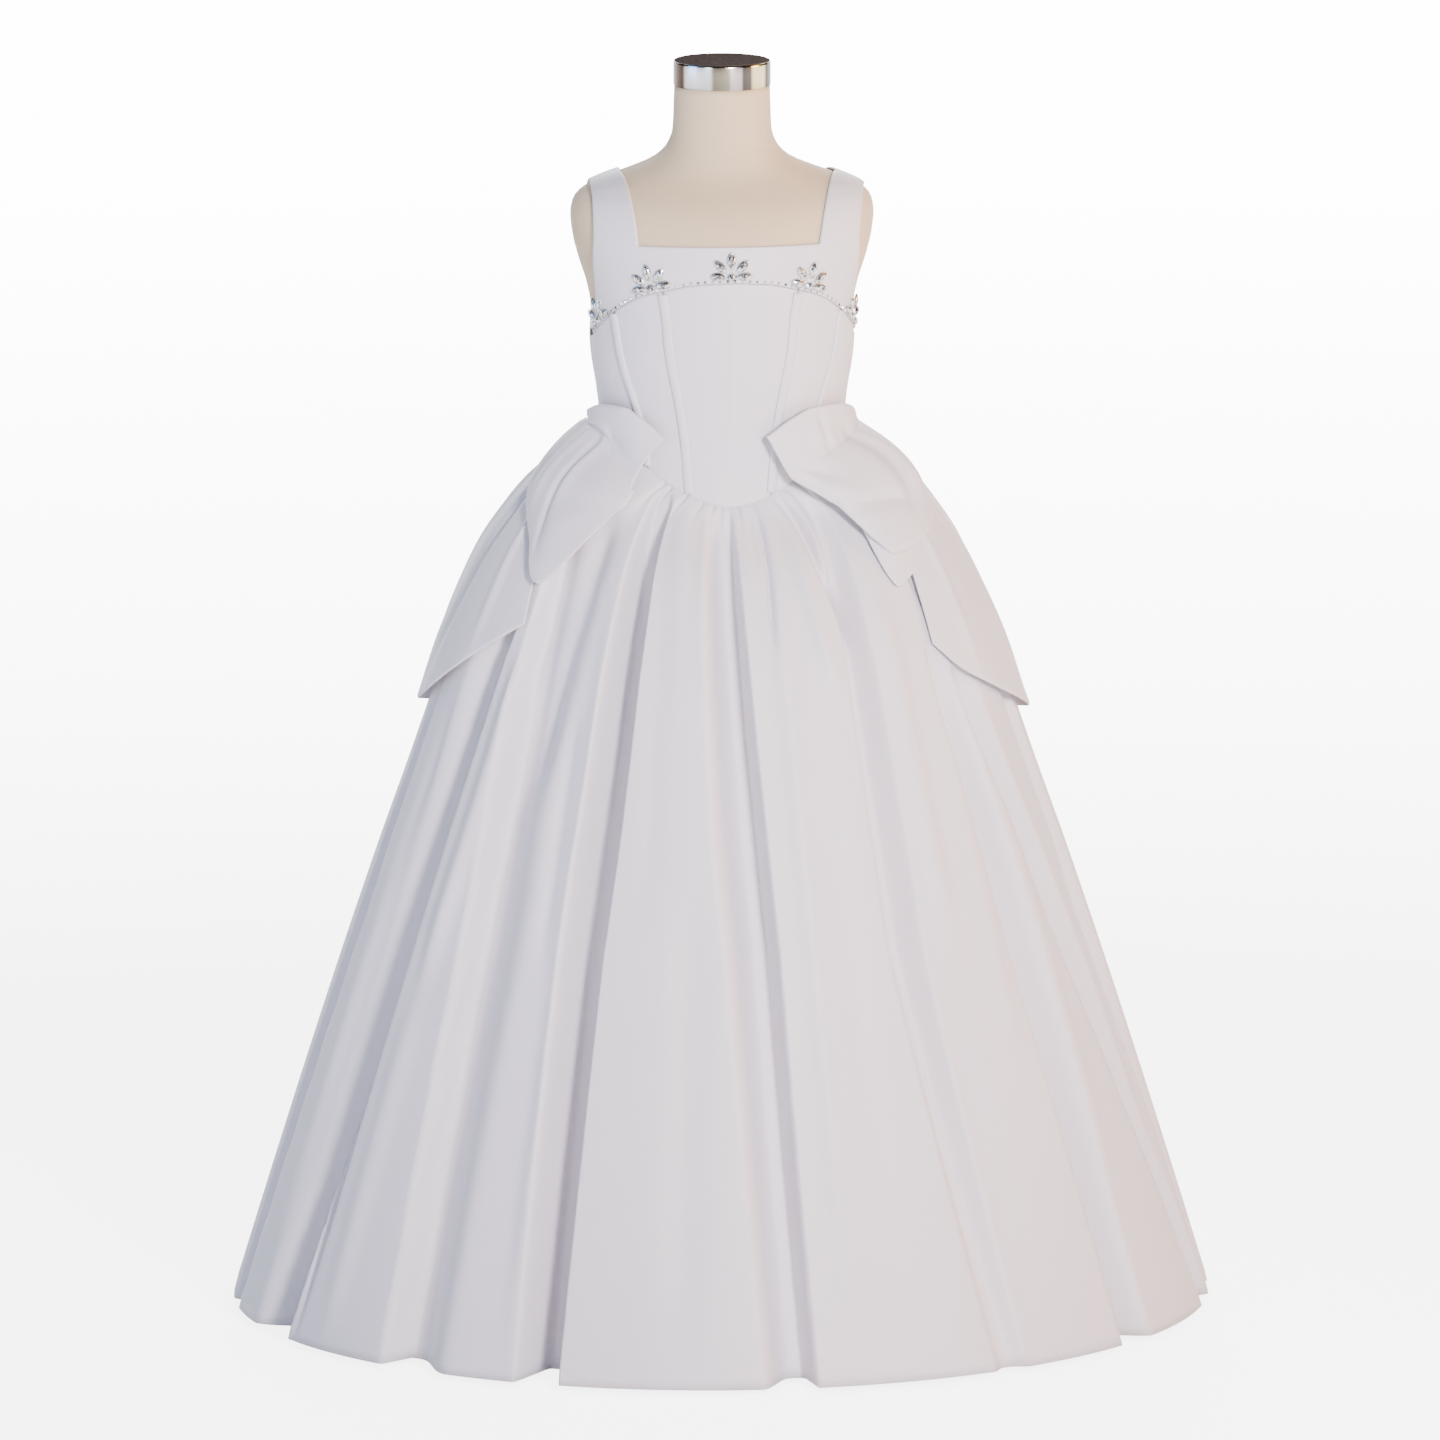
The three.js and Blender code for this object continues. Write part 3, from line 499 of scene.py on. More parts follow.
# A fold: its angle at the waist, at mid height and at the hem; how far its floor reaches left and right of that
# line and how wide its left and right walls are, all in mm round the skirt; its depth up there and at the hem in
# mm; and the height where it starts. A narrow wall gives a crisp edge, and a wide one a soft slope
skirtFolds = tableOf("waist middle hem left right leftWall rightWall depth hemDepth start", [
    [-84, -83, -86, 3, 2, 20, 7, 14, 24, 640],
    [-55, -63.2, -66.7, 8, 2, 44, 5, 30, 52, 655],
    [-51, -47.5, -46, 3, 8, 4, 46, 30, 34, 715],
    [-23, -25.2, -25.2, 20, 10, 3, 3, 44, 54, 745],
    [-1.5, 3.2, 5.4, 12, 6, 22, 3.5, 38, 36, 730],
    [27, 25.5, 31, 4, 4, 11, 14, 23, 8, 726],
    [46, 48.5, 51.5, 5, 3, 7, 24, 26, 40, 590],
    [49, 61.5, 76, 4, 3, 6, 24, 28, 44, 575],
    [74, 79, 86, 6, 4, 20, 9, 12, 20, 660],
    [98, 101, 104, 5, 4, 12, 22, 17, 28, 720],
    [113, 118, 121, 8, 8, 26, 26, 13, 20, 700],
    [131, 135, 138, 5, 4, 24, 8, 20, 34, 730],
    [150, 153, 155, 9, 8, 26, 24, 14, 20, 720],
    [171, 172, 174, 5, 5, 8, 16, 22, 32, 735],
    [190, 189, 192, 8, 8, 24, 24, 13, 20, 700],
    [208, 209, 210, 5, 5, 18, 8, 19, 32, 735],
    [226, 226, 228, 9, 9, 28, 24, 13, 18, 710],
    [243, 244, 247, 4, 4, 10, 20, 18, 30, 720],
    [259, 258, 257, 5, 5, 20, 22, 11, 18, 680]])
skirt = dict(foldMiddleZ=350, gatherCount=38, gatherDepth=1.9, gatherLength=52, hemRoll=0.8, rollSize=(1200, 760),
             waistTuck=1.6, clearance=6, front=(430, 106), back=(290, 92), cutTop=0.74, cutHem=1.60, cutLength=0.76)
# Lesser creases: angle at the top and bottom, the heights they run between, width and depth in mm. A negative
# depth is a ridge standing out
softCreases = tableOf("top bottom high low width depth", [
    [-28.5, -29.6, 700, 6, 9, -5.0], [-50, -55.5, 600, 300, 9, -7.0], [-55.5, -58, 320, 10, 12, -4.0],
    [-59.6, -64.2, 600, 10, 5, 12.0], [-37.5, -41.5, 712, 470, 13, 15.0], [-34, -33, 560, 330, 6, 3.0],
    [-72, -75, 560, 40, 9, 4.0], [-17, -16.5, 690, 380, 10, 1.5], [9.5, 11.5, 700, 6, 10, -2.5],
    [-9, -9, 420, 20, 16, 2.0], [8.8, 7.7, 714, 600, 2.4, 8.0],
    [15, 18, 520, 60, 14, 2.0], [18, 27.5, 735, 590, 4.5, 16.0], [15, 20.5, 700, 560, 8, -4.0],
    [35, 34, 680, 330, 12, -4.5], [31, 36, 330, 10, 14, 2.5], [47, 51.5, 700, 600, 5, 3.0],
    [44, 42, 560, 240, 12, -3.0], [55, 56, 520, 120, 12, -3.0],
    [72, 76, 420, 30, 12, 4.0], [92, 93, 560, 60, 12, 3.5],
    [107, 110, 640, 200, 10, 3.5], [125, 129, 480, 30, 10, 3.5], [143, 146, 620, 120, 12, 3.5],
    [162, 164, 560, 20, 12, 4.0], [181, 182, 640, 200, 10, 3.0], [199, 201, 520, 40, 12, 3.5],
    [218, 219, 600, 90, 14, 3.5], [235, 237, 540, 30, 11, 3.0], [251, 250, 500, 60, 12, 3.5]])


def turnBetween(angle, centre):  # difference in degrees, from -180 to 180
    return (angle - centre + 180) % 360 - 180


def runPerDegree(angle, z):  # mm of the skirt's girth to a degree, near an angle
    a = np.radians(angle)
    depth = np.where(np.cos(a) > 0, hip["front"](z), hip["back"](z))
    return np.hypot(hip["side"](z) * np.cos(a), depth * np.sin(a)) * np.pi / 180


def foldDepth(angle, z, below):  # how far the folds and creases press the skirt inward, in mm
    depth = np.zeros(np.broadcast(angle, z).shape)
    middleZ = skirt["foldMiddleZ"]
    high = (z - middleZ) / (700 - middleZ)
    low = (middleZ - z) / (middleZ - cut["hemZ"])
    run = runPerDegree(angle, z)
    toSeam = 1 + 0.33 * np.exp(-below / 6)  # front folds run on straight where the skirt narrows to the seam
    for waist, middle, hem, left, right, leftWall, rightWall, deep, hemDeep, start in zip(*skirtFolds.values()):
        centre = np.where(z > middleZ, mix(middle, waist, high), mix(middle, hem, low))
        away = turnBetween(angle, centre * toSeam if abs(waist) < 50 else centre) * run
        narrow = np.clip(run / 4.4, 0.55, 1.1)
        floor = smoothStep(-left - leftWall, -left * 0.6, away / narrow)
        floor = floor * (1 - smoothStep(right * 0.6, right + rightWall, away / narrow))
        grown = np.where(z < start, 1 - np.exp(-(start - z) / 60), 0)
        depth += np.where(z > middleZ, deep, mix(deep, hemDeep, low)) * grown * floor
    for top, bottom, highZ, lowZ, width, deep in zip(*softCreases.values()):
        p = (highZ - z) / (highZ - lowZ)
        away = turnBetween(angle, mix(top, bottom, p)) * run
        depth += deep * np.exp(-(away / width) ** 2) * smoothStep(-0.02, 0.2, p) * smoothStep(-0.05, 0.25, 1 - p)
    return depth


def gatherDepth(angle, below):  # small tucks that fade in under the seam and out again further down
    turn = np.radians(angle)
    wave = np.sin(skirt["gatherCount"] * turn + 1.3 * np.sin(5 * turn))
    fine = np.sin(97 * turn + 2 * np.sin(7 * turn))
    fade = (1 - np.exp(-below / 5)) * np.exp(-below / skirt["gatherLength"])
    fineFade = (1 - np.exp(-below / 2.5)) * np.exp(-below / 16)
    return skirt["gatherDepth"] * (1 - wave) * fade + 0.35 * (1 - fine) * fineFade


tucks = dict(angles=[-31, -27.5, -20, -12.5, -7.5, -4.2, 3.2, 9.5, 14, 21, 26, 31], depth=4.2, width=1.2, length=20)


def tuckDepth(angle, below):  # short sharp tucks held in the waist seam
    depth = np.zeros(np.broadcast(angle, below).shape)
    for i, centre in enumerate(tucks["angles"]):
        length = tucks["length"] * (0.6 + 0.8 * abs(math.sin(2.4 * i)))
        away = (angle - centre - 0.03 * below * math.sin(1.7 * i)) * 1.9
        depth += tucks["depth"] * np.exp(-(away / tucks["width"]) ** 2) * np.exp(-below / length)
    return depth


def onSkirt(angle, below):  # the hips less the folds, held to the bodice near the seam by exp(-below / swing)
    z = waistZ(angle) - below
    positive = np.maximum(below, 0)
    held = np.exp(-positive / cut["waistSwing"])[..., None]
    pressed = gatherDepth(angle, positive) + foldDepth(angle, z, positive)
    out = cut["skirtCloth"] / 2
    room = np.hypot(*np.moveaxis(onSection(hip, angle, z) - onSection(body, angle, z), -1, 0)[:2])
    room = np.maximum(room - skirt["clearance"], 3)
    pressed = pressed / (1 + (pressed / room) ** 4) ** 0.25  # a fold stops short of the form inside the skirt
    loose = onSection(hip, angle, z, out - pressed)
    seam = 1 - np.exp(-np.maximum(below + skirt["waistTuck"], 0) / 1.4)  # the cloth rises out of the seam
    rise = (cut["bodyEase"] + cut["skirtCloth"]) * mix(0.55, 1.35, seam)
    top = onSection(body, angle, z, rise - tuckDepth(angle, positive) * seam)
    return mix(loose, top, held)


angleSteps = 2000
columnCrowds = tableOf("angle width extra", [[-64, 5, 1.2], [-24, 5, 2.6], [4, 6, 1.6], [30, 8, 0.6], [44, 5, 1.0],
                                             [62, 8, 0.8], [79, 5, 0.6]])


def crowdedColumns(fromAngle, toAngle):  # angles whose steps close up where the folds are sharp
    angles = np.linspace(fromAngle, toAngle, angleSteps)
    density = np.ones(angleSteps)
    for angle, width, extra in zip(*columnCrowds.values()):
        density += extra * np.exp(-((angles - angle) / width) ** 2)
    total = np.concatenate([[0], np.cumsum((density[1:] + density[:-1]) / 2)])
    return lambda s: np.interp(s, total / total[-1], angles)


def skirtPanel(name, node, fromAngle, toAngle, counts):
    angleOf = crowdedColumns(fromAngle, toAngle)
    step = 1 / angleSteps

    def place(s, t):
        inside = np.clip(s, step, 1 - step)
        slope = (angleOf(inside + step) - angleOf(inside - step)) / (2 * step)
        angle = np.where((s < step) | (s > 1 - step), angleOf(inside) + (s - inside) * slope, angleOf(s))
        length = waistZ(angle) - cut["hemZ"]
        return onSkirt(angle, mix(-skirt["waistTuck"], length, t * np.abs(t) ** 0.5))
    roll = rolledEdges(skirt["rollSize"], (0, 0, 0, skirt["hemRoll"]))
    obj = clothWall(name, place, *counts, cut["skirtCloth"] * 0.6, roll)
    finishPiece(obj, satin, [node])


sideGap = math.degrees(cut["seamGap"] / 2 / float(body["side"](cut["waistBackZ"])))
skirtPanel("skirtFrontCloth", "skirt_front", -90 + sideGap, 90 - sideGap, skirt["front"])
skirtPanel("skirtBackCloth", "skirt_back", 90 + sideGap, 270 - sideGap, skirt["back"])
print("skirt draped")


# Overskirt swags

# ribs run from the gather at the top (0) to the free edge (1): where they sit along the sheet, their angle and z at
# both ends, how far they stand off there, their puff in mm and their bend in degrees half way down. creases are rows
# of s0, t0, s1, t1, width, height, bow; rolls are the radii of the left, upper, right and lower edges
swags = {
    "left_top": dict(counts=(120, 70), size=(85, 45), cut=(0.088, 0.06), seated=False,
        rolls=(2, 3, 1.5, 0), ribs=[
        [0, -84, 784, -78, 764, 10, 4.5, 3], [0.25, -66, 793, -64, 750, 9, 4, 4],
        [0.5, -52, 794, -56, 733, 8, 4, 4, -2], [0.75, -40, 784, -45.5, 718, 8, 4, 4, -5],
        [1, -29.8, 768, -33, 712, 9, 4.5, 3, -8]], creases=[
        [0.3, 0.62, 0.98, 0.70, 6, -1.6, 0.03], [0.02, 0.45, 0.4, 0.6, 5, 1.6, 0.1],
        [0.35, 0.1, 0.9, 0.25, 8, 1.4, 0.04]]),
    "left_middle": dict(counts=(140, 90), size=(120, 80), cut=(0.16, 0.10), seated=False,
        rolls=(2, 1.5, 1.5, 1.5), ribs=[
        [0, -98, 770, -93, 736, 9, 9, 4], [0.25, -79, 774, -72.5, 702, 9.2, 9.8, 4],
        [0.5, -67, 771, -59.5, 674, 7.6, 11.3, 4], [0.75, -56.5, 748, -50, 642, 7.4, 11.3, 4],
        [0.9, -43.5, 731, -37.5, 686, 8.6, 10.5, 2.5], [1, -34, 717, -32.5, 705, 9, 9.5, 1]], creases=[
        [0.42, 0.05, 0.66, 0.9, 7, -2.2, 0.08], [0.25, 0.04, 0.36, 0.95, 8, 2.2, 0.05],
        [0.6, 0.15, 0.8, 0.75, 9, 1.4, 0.05], [0.12, 0.1, 0.22, 0.9, 6, -1.5, 0.04]]),
    "left_long": dict(counts=(200, 100), size=(420, 240), cut=(0.50, 0.30), seated=True,
        rolls=(1.5, 0, 1.5, 1.5), ribs=[
        [0, -174, 764, -172, 466, 0.6, 7, 3], [0.25, -142, 765, -148, 476, 0.6, 9, 4],
        [0.45, -112, 768, -116, 506, 0.6, 9, 4], [0.65, -88, 769, -90, 531, 0.6, 8.2, 4],
        [0.8, -72, 760, -71, 566, 0.6, 8.6, 3], [0.9, -65, 752, -61, 590, 0.6, 6.4, 2],
        [1, -58, 744, -52, 611, 0.6, 3.6, 1]], creases=[
        [0.72, 0.05, 0.66, 0.95, 9, -3.0, 0.04], [0.55, 0.02, 0.47, 0.9, 12, 3.0, 0.05],
        [0.86, 0.1, 0.84, 0.98, 8, 2.2, 0.02], [0.35, 0.03, 0.25, 0.85, 12, -3.0, 0.05],
        [0.2, 0.02, 0.1, 0.95, 12, 2.6, 0.03]]),
    "right_top": dict(counts=(150, 110), size=(150, 95), cut=(0.165, 0.11), seated=False,
        rolls=(1.5, 2, 2, 4), ribs=[
        [0, 14.5, 772, 33, 694, 14, 10.4, 5], [0.2, 26, 786, 38, 675, 12, 10.2, 9],
        [0.4, 39, 794, 43.5, 663, 9, 10.5, 11], [0.6, 54, 794, 52, 667, 8, 11, 11],
        [0.75, 66, 790, 61, 675, 8, 12, 10], [0.88, 78, 782, 70, 690, 7, 11.5, 8],
        [1, 89, 771, 79, 732, 5, 8.5, 4]], creases=[
        [0.15, 0.42, 0.6, 0.5, 8, -2.2, -0.12], [0.2, 0.78, 0.72, 0.8, 6, -2.2, 0.12],
        [0.62, 0.1, 0.68, 0.88, 8, -3.4, 0.14], [0.42, 0.03, 0.46, 0.35, 5, -2.4, 0.05],
        [0.3, 0.18, 0.55, 0.22, 8, 1.8, 0.03], [0.76, 0.3, 0.8, 0.85, 7, 2.4, 0.1]]),
    "right_under": dict(counts=(80, 50), size=(65, 55), cut=(0.09, 0.068), seated=False,
        rolls=(1, 0, 1, 1.5), ribs=[
        [0, 36, 712, 37.5, 684, 12, 2.6, 0], [0.3, 41, 718, 38.5, 664, 13, 2.4, 0],
        [0.55, 46, 718, 42.5, 640, 14, 2.4, 0], [0.8, 54, 718, 51.5, 654, 14, 2.8, 0],
        [1, 66, 720, 59.5, 674, 11, 3.6, 0]], creases=[
        [0.5, 0.05, 0.52, 0.95, 6, 1.2, 0.0]]),
    "right_long": dict(counts=(200, 100), size=(420, 240), cut=(0.50, 0.30), seated=True,
        rolls=(1.5, 0, 1.5, 1.5), ribs=[
        [0, 51, 738, 47, 592, 0.6, 2.6, 0.5], [0.1, 58, 748, 53, 569, 0.6, 5.5, 2.0],
        [0.2, 67, 758, 63, 548, 0.6, 8.6, 3], [0.35, 84, 769, 86, 517, 0.6, 8.6, 3],
        [0.55, 110, 768, 114, 494, 0.6, 9, 4], [0.75, 142, 765, 146, 474, 0.6, 9, 4],
        [1, 174, 764, 172, 466, 0.6, 7, 3]], creases=[
        [0.29, 0.05, 0.36, 0.95, 9, -3.0, -0.04], [0.45, 0.02, 0.55, 0.9, 12, 3.0, -0.05],
        [0.14, 0.1, 0.16, 0.98, 8, 2.2, -0.02], [0.65, 0.03, 0.75, 0.85, 12, -3.0, -0.05],
        [0.8, 0.02, 0.9, 0.95, 12, 2.6, -0.03]]),
}


def underSwag(angle, z, seated):  # the smooth skirt below the waist and the bodice above it
    below = waistZ(angle) - z
    if seated:
        held = np.exp(-np.maximum(below, 0) / cut["waistSwing"])
    else:
        held = 1 / (1 + np.exp((below - 8) / 7))
    inner = onSection(body, angle, z, cut["bodyEase"] + cut["skirtCloth"] / 2)
    return mix(onSection(hip, angle, z), inner, held[..., None])


def makeSwag(flapName, flap):  # ribs blended along s; each runs straight down t, bent and puffed by a half sine
    names = "at a0 z0 a1 z1 lift0 lift1 puff bend"
    ribs = tableOf(names, [rib + [0] * (9 - len(rib)) for rib in flap["ribs"]])
    rib = {k: smoothCurve(ribs["at"], v) for k, v in ribs.items() if k != "at"}

    def under(angle, z):
        return underSwag(angle, z, flap["seated"])

    def place(s, t):
        t = t * np.abs(t) ** 0.4 if flap["seated"] else t
        angle = mix(rib["a0"](s), rib["a1"](s), t) + rib["bend"](s) * np.sin(np.pi * t)
        z = mix(rib["z0"](s), rib["z1"](s), t)
        lift = mix(rib["lift0"](s), rib["lift1"](s), t) + rib["puff"](s) * np.sin(np.pi * t)
        lift = lift + creaseHeights(s, t, flap["size"], flap["creases"])
        out = cut["skirtCloth"] / 2 + lift + cut["swagCloth"]
        return under(angle, z) + outwardAt(under, angle, z, 0.1) * out[..., None]

    roll = rolledEdges(flap["size"], flap["rolls"])
    obj = clothWall(f"swag{titled(flapName)}Cloth", place, *flap["counts"], cut["swagWall"], roll, ease=0.5)
    finishPiece(obj, satin, [f"swag_{flapName}"])


for flapName, flap in swags.items():
    makeSwag(flapName, flap)
print("swags gathered")


# Bodice

bodice = dict(edge=1.1, turnRadius=1.7, middleZ=800.0, frontCounts=(60, 110), sideCounts=(40, 90))


def frontPanelPlace(fromSeam, toSeam):  # between two seams, from the arched seam down to the waist seam
    def place(s, t):
        z = np.full(np.broadcast(s, t).shape, bodice["middleZ"])
        for _ in range(4):  # the seams lean, so angle and z settle together
            angle = mix(fromSeam(z), toSeam(z), s)
            z = mix(archZ(np.abs(angle)) - cut["seamGap"] / 2, waistZ(angle) + cut["seamGap"] / 2, t)
        return onSection(body, angle, z)
    return place


def bodicePiece(name, node, place, counts, size, creases, rolls, keep=None, opening=None):
    # opening(s, t) is the distance to the neckline or armhole in mm, where the edge is turned under
    outer = cut["bodyEase"] + cut["bodiceCloth"]

    def heights(s, t):
        sink = edgeDrop(opening(s, t), bodice["turnRadius"]) if opening else 0
        return creaseHeights(s, t, size, creases) - sink
    roll = rolledEdges(size, rolls)
    obj = clothWall(name, lifted(place, heights, outer), *counts, cut["bodiceCloth"] * 0.8, roll, keep)
    finishPiece(obj, satin, [node])


halfGap = math.degrees(cut["seamGap"] / 2 / 96)  # at the bodice's mean radius in mm
centreCreases = [[0.5, 0.05, 0.5, 0.8, 2.2, 0.5, 0], [0.15, 0.3, 0.85, 0.34, 9, -0.35, 0.03],
                 [0.1, 0.62, 0.9, 0.6, 8, 0.4, -0.03], [0.2, 0.8, 0.8, 0.83, 7, -0.4, 0.02]]
sideCreases = [[0.1, 0.35, 0.9, 0.42, 7, 0.4, 0.03], [0.1, 0.6, 0.9, 0.66, 7, -0.4, 0.03]]


def beside(seam, gap):  # a line that follows a seam at a gap in degrees
    return lambda z: seam(z) + gap


centrePlace = frontPanelPlace(lambda z: -(innerSeam(z) - halfGap), beside(innerSeam, -halfGap))
sideFrontPlace = frontPanelPlace(beside(innerSeam, halfGap), beside(outerSeam, -halfGap))
sidePlace = frontPanelPlace(beside(outerSeam, halfGap), lambda z: 90 - halfGap + 0 * z)
seamRolls = (bodice["edge"], 0.5, bodice["edge"], bodice["edge"])
bodicePiece("bodiceCentreFrontCloth", "bodice_centre_front", centrePlace, bodice["frontCounts"], (100, 190),
            centreCreases, seamRolls)
for side, turnPlace in bothSides:
    low = side.lower()
    bodicePiece(f"bodiceSideFront{side}Cloth", f"bodice_side_front_{low}", turnPlace(sideFrontPlace),
                bodice["sideCounts"], (45, 155), sideCreases, seamRolls)
    bodicePiece(f"bodiceSide{side}Cloth", f"bodice_side_{low}", turnPlace(sidePlace), bodice["sideCounts"],
                (60, 110), sideCreases, seamRolls)


shoulders = dict(low=952.0, high=1022.0, halvings=40)  # heights in mm that the form's shoulders lie between


def shoulderZ(x):  # the top of the form over a point at x, by halving
    low, high = (np.full(np.shape(x), shoulders[end]) for end in ("low", "high"))
    for _ in range(shoulders["halvings"]):
        middle = (low + high) / 2
        wide = body["side"](middle) > x
        low = np.where(wide, middle, low)
        high = np.where(wide, high, middle)
    return low


def onStrap(x, over, endZ):  # over is -1 at the front end, 0 on the shoulder and 1 at the back end
    top = shoulderZ(x)
    z = top - (top - endZ) * over * over
    depth = np.where(over < 0, body["front"](z), body["back"](z))
    across = np.sqrt(np.maximum(0, 1 - (x / body["side"](z)) ** 2))
    return np.stack([x + 0 * z, np.sign(over) * depth * across, z], -1)


def angleAt(x, z):  # the angle of the form's point at x and z
    return float(np.degrees(np.arcsin(x / body["side"](z))))


yoke = dict(strapColumns=40, middleColumns=120, strapRows=60, bandRows=60, strapWidth=30, bandHeight=32)
yokeColumns = 2 * yoke["strapColumns"] + yoke["middleColumns"]
yokeRows = yoke["strapRows"] + yoke["bandRows"]
shoulderGap = cut["seamGap"] / 120  # as a part of the strap's length from the neckline to the shoulder
rounding = 1e-6


def yokePlace(s, t):  # strap, band, strap from left to right; the straps above, then the band from side to side
    strapPart = yoke["strapColumns"] / yokeColumns
    outer, inner = angleAt(strap["outerX"], cut["neckFrontZ"]), angleAt(strap["innerX"], cut["neckFrontZ"])
    sign = np.where(s > 0.5, 1, -1)
    p = np.minimum(s, 1 - s) / strapPart
    middle = (p - 1) / (0.5 / strapPart - 1)
    upper = np.where(p <= 1, mix(outer, inner, p), mix(inner, 0, middle))
    lower = np.where(p <= 1, mix(strap["armholeAngle"], strap["lowerInner"], p), mix(strap["lowerInner"], 0, middle))
    row = t * yokeRows
    over = mix(-shoulderGap, -1, row / yoke["strapRows"])
    startX = body["side"](cut["neckFrontZ"]) * np.sin(np.radians(upper))
    endX = mix(strap["shoulderOuterX"], strap["shoulderInnerX"], p) + np.where(sign > 0, strap["rightShift"], 0)
    onTop = onStrap(mix(endX, startX, -over), np.maximum(over, -1.2), cut["neckFrontZ"])
    v = (row - yoke["strapRows"]) / yoke["bandRows"]
    z = mix(cut["neckFrontZ"], archZ(lower) + cut["seamGap"] / 2, v)
    onBand = onSection(body, mix(upper, lower, v), z)
    point = np.where((row < yoke["strapRows"] - rounding)[..., None], onTop, onBand)
    point[..., 0] *= sign
    return point


def makeYoke():
    def opening(s, t):  # to the neckline, round its corner, or to the armhole
        p = np.minimum(s, 1 - s) * yokeColumns / yoke["strapColumns"]
        below = (t * yokeRows - yoke["strapRows"]) / yoke["bandRows"]
        toNeck = np.hypot(np.maximum(1 - p, 0) * yoke["strapWidth"], np.maximum(below, 0) * yoke["bandHeight"])
        return np.minimum(toNeck, p * yoke["strapWidth"])
    i, j = np.meshgrid(np.arange(yokeColumns), np.arange(yokeRows))
    keep = (j >= yoke["strapRows"]) | (i < yoke["strapColumns"]) | (i >= yokeColumns - yoke["strapColumns"])
    bodicePiece("yokeFrontCloth", "yoke_front", yokePlace, (yokeColumns, yokeRows), (300, 150),
                [[0.2, 0.8, 0.8, 0.8, 8, 0.3, 0]], (0, 0, 0, 0.5), keep, opening)


makeYoke()

back = dict(side=26, strap=40, centre=44, strapRows=60, bodyRows=108, strapWidth=30, bodyHeight=170)
backColumns = back["side"] + back["strap"] + back["centre"]
backRows = back["strapRows"] + back["bodyRows"]


def backPlace(s, t, shift=0):  # side, strap, centre along s; the strap above, then the body down to the waist seam
    strapOuter = 180 - angleAt(strap["outerX"], cut["neckBackZ"])
    strapInner = 180 - angleAt(strap["innerX"], cut["neckBackZ"])
    column = s * backColumns
    pastSide = column - back["side"]
    pastStrap = pastSide - back["strap"]
    angle = mix(90 + halfGap, strapOuter, column / back["side"])
    angle = np.where(pastSide > 0, mix(strapOuter, strapInner, pastSide / back["strap"]), angle)
    angle = np.where(pastStrap > 0, mix(strapInner, 180 - halfGap, pastStrap / back["centre"]), angle)
    row = t * backRows
    over = mix(shoulderGap, 1, row / back["strapRows"])
    startX = body["side"](cut["neckBackZ"]) * np.sin(np.radians(angle))
    endX = mix(strap["shoulderOuterX"], strap["shoulderInnerX"], pastSide / back["strap"]) + shift  # at the shoulder
    onTop = onStrap(mix(endX, startX, over), np.minimum(over, 1.2), cut["neckBackZ"])
    towardArm = np.clip(-pastSide / back["side"], 0, 1)
    top = mix(cut["neckBackZ"], cut["sideTopZ"], np.sin(towardArm * np.pi / 2) ** 0.8)
    z = mix(top, waistZ(angle) + cut["seamGap"] / 2, (row - back["strapRows"]) / back["bodyRows"])
    return np.where((row < back["strapRows"] - rounding)[..., None], onTop, onSection(body, angle, z))


def makeBacks():
    i, j = np.meshgrid(np.arange(backColumns), np.arange(backRows))
    keep = (j >= back["strapRows"]) | (i >= back["side"]) & (i < back["side"] + back["strap"])
    creases = [[0.2, 0.75, 0.95, 0.8, 8, -0.4, 0.02], [0.3, 0.88, 0.9, 0.9, 7, 0.4, 0.02]]

    def opening(s, t):  # to the neckline on one side of the strap, and to the armhole on the other
        inStrap = (s * backColumns - back["side"]) / back["strap"] * back["strapWidth"]
        below = np.maximum(t * backRows - back["strapRows"], 0) / back["bodyRows"] * back["bodyHeight"]
        toNeck = np.hypot(np.maximum(back["strapWidth"] - inStrap, 0), below)
        return np.minimum(toNeck, np.hypot(np.maximum(inStrap, 0), below))

    rightPlace = lambda s, t: backPlace(s, t, strap["rightShift"])
    leftOpening = lambda s, t: opening(1 - s, t)
    for side, place, kept, toOpening in (("Right", rightPlace, keep, opening),
                                         ("Left", mirrored(backPlace), keep[:, ::-1], leftOpening)):
        bodicePiece(f"bodiceBack{side}Cloth", f"bodice_back_{side.lower()}", place, (backColumns, backRows),
                    (140, 230), creases, (0, 0, 0, bodice["edge"]), kept, toOpening)


makeBacks()

bone = dict(halfWidth=4.2, height=2.1, ripple=0.12, wall=0.5, radius=100, counts=(16, 120),
            starts=dict(inner=2.2, outer=1), cutWidth=0.0105, cutLengths=dict(inner=0.175, outer=0.13))


def boneChannel(layer, seam, side, turnPlace):
    def place(s, t):
        z = np.full(np.broadcast(s, t).shape, bodice["middleZ"])
        for _ in range(4):
            z = mix(archZ(seam(z)) - bone["starts"][layer], waistZ(seam(z)) + 3, t)
        spread = math.degrees(bone["halfWidth"] / bone["radius"])
        return onSection(body, seam(z) + mix(-spread, spread, s), z)

    def heights(s, t):  # rounded across, with a slight ripple of the bone inside along it
        across = np.sin(np.pi * np.clip(s, 0, 1)) ** 0.5
        return bone["height"] * across + bone["ripple"] * np.sin(t * 46 + 3 * np.sin(t * 9))
    raised = lifted(turnPlace(place), heights, cut["bodyEase"] + cut["bodiceCloth"] + 0.2)
    obj = clothWall(f"boneChannel{layer.title()}{side}Cloth", raised, *bone["counts"], bone["wall"])
    finishPiece(obj, satin, [f"bone_channel_{layer}_{side.lower()}"])


for layer, seam in (("inner", innerSeam), ("outer", outerSeam)):
    for side, turnPlace in bothSides:
        boneChannel(layer, seam, side, turnPlace)
print("bodice sewn")


# Dress form

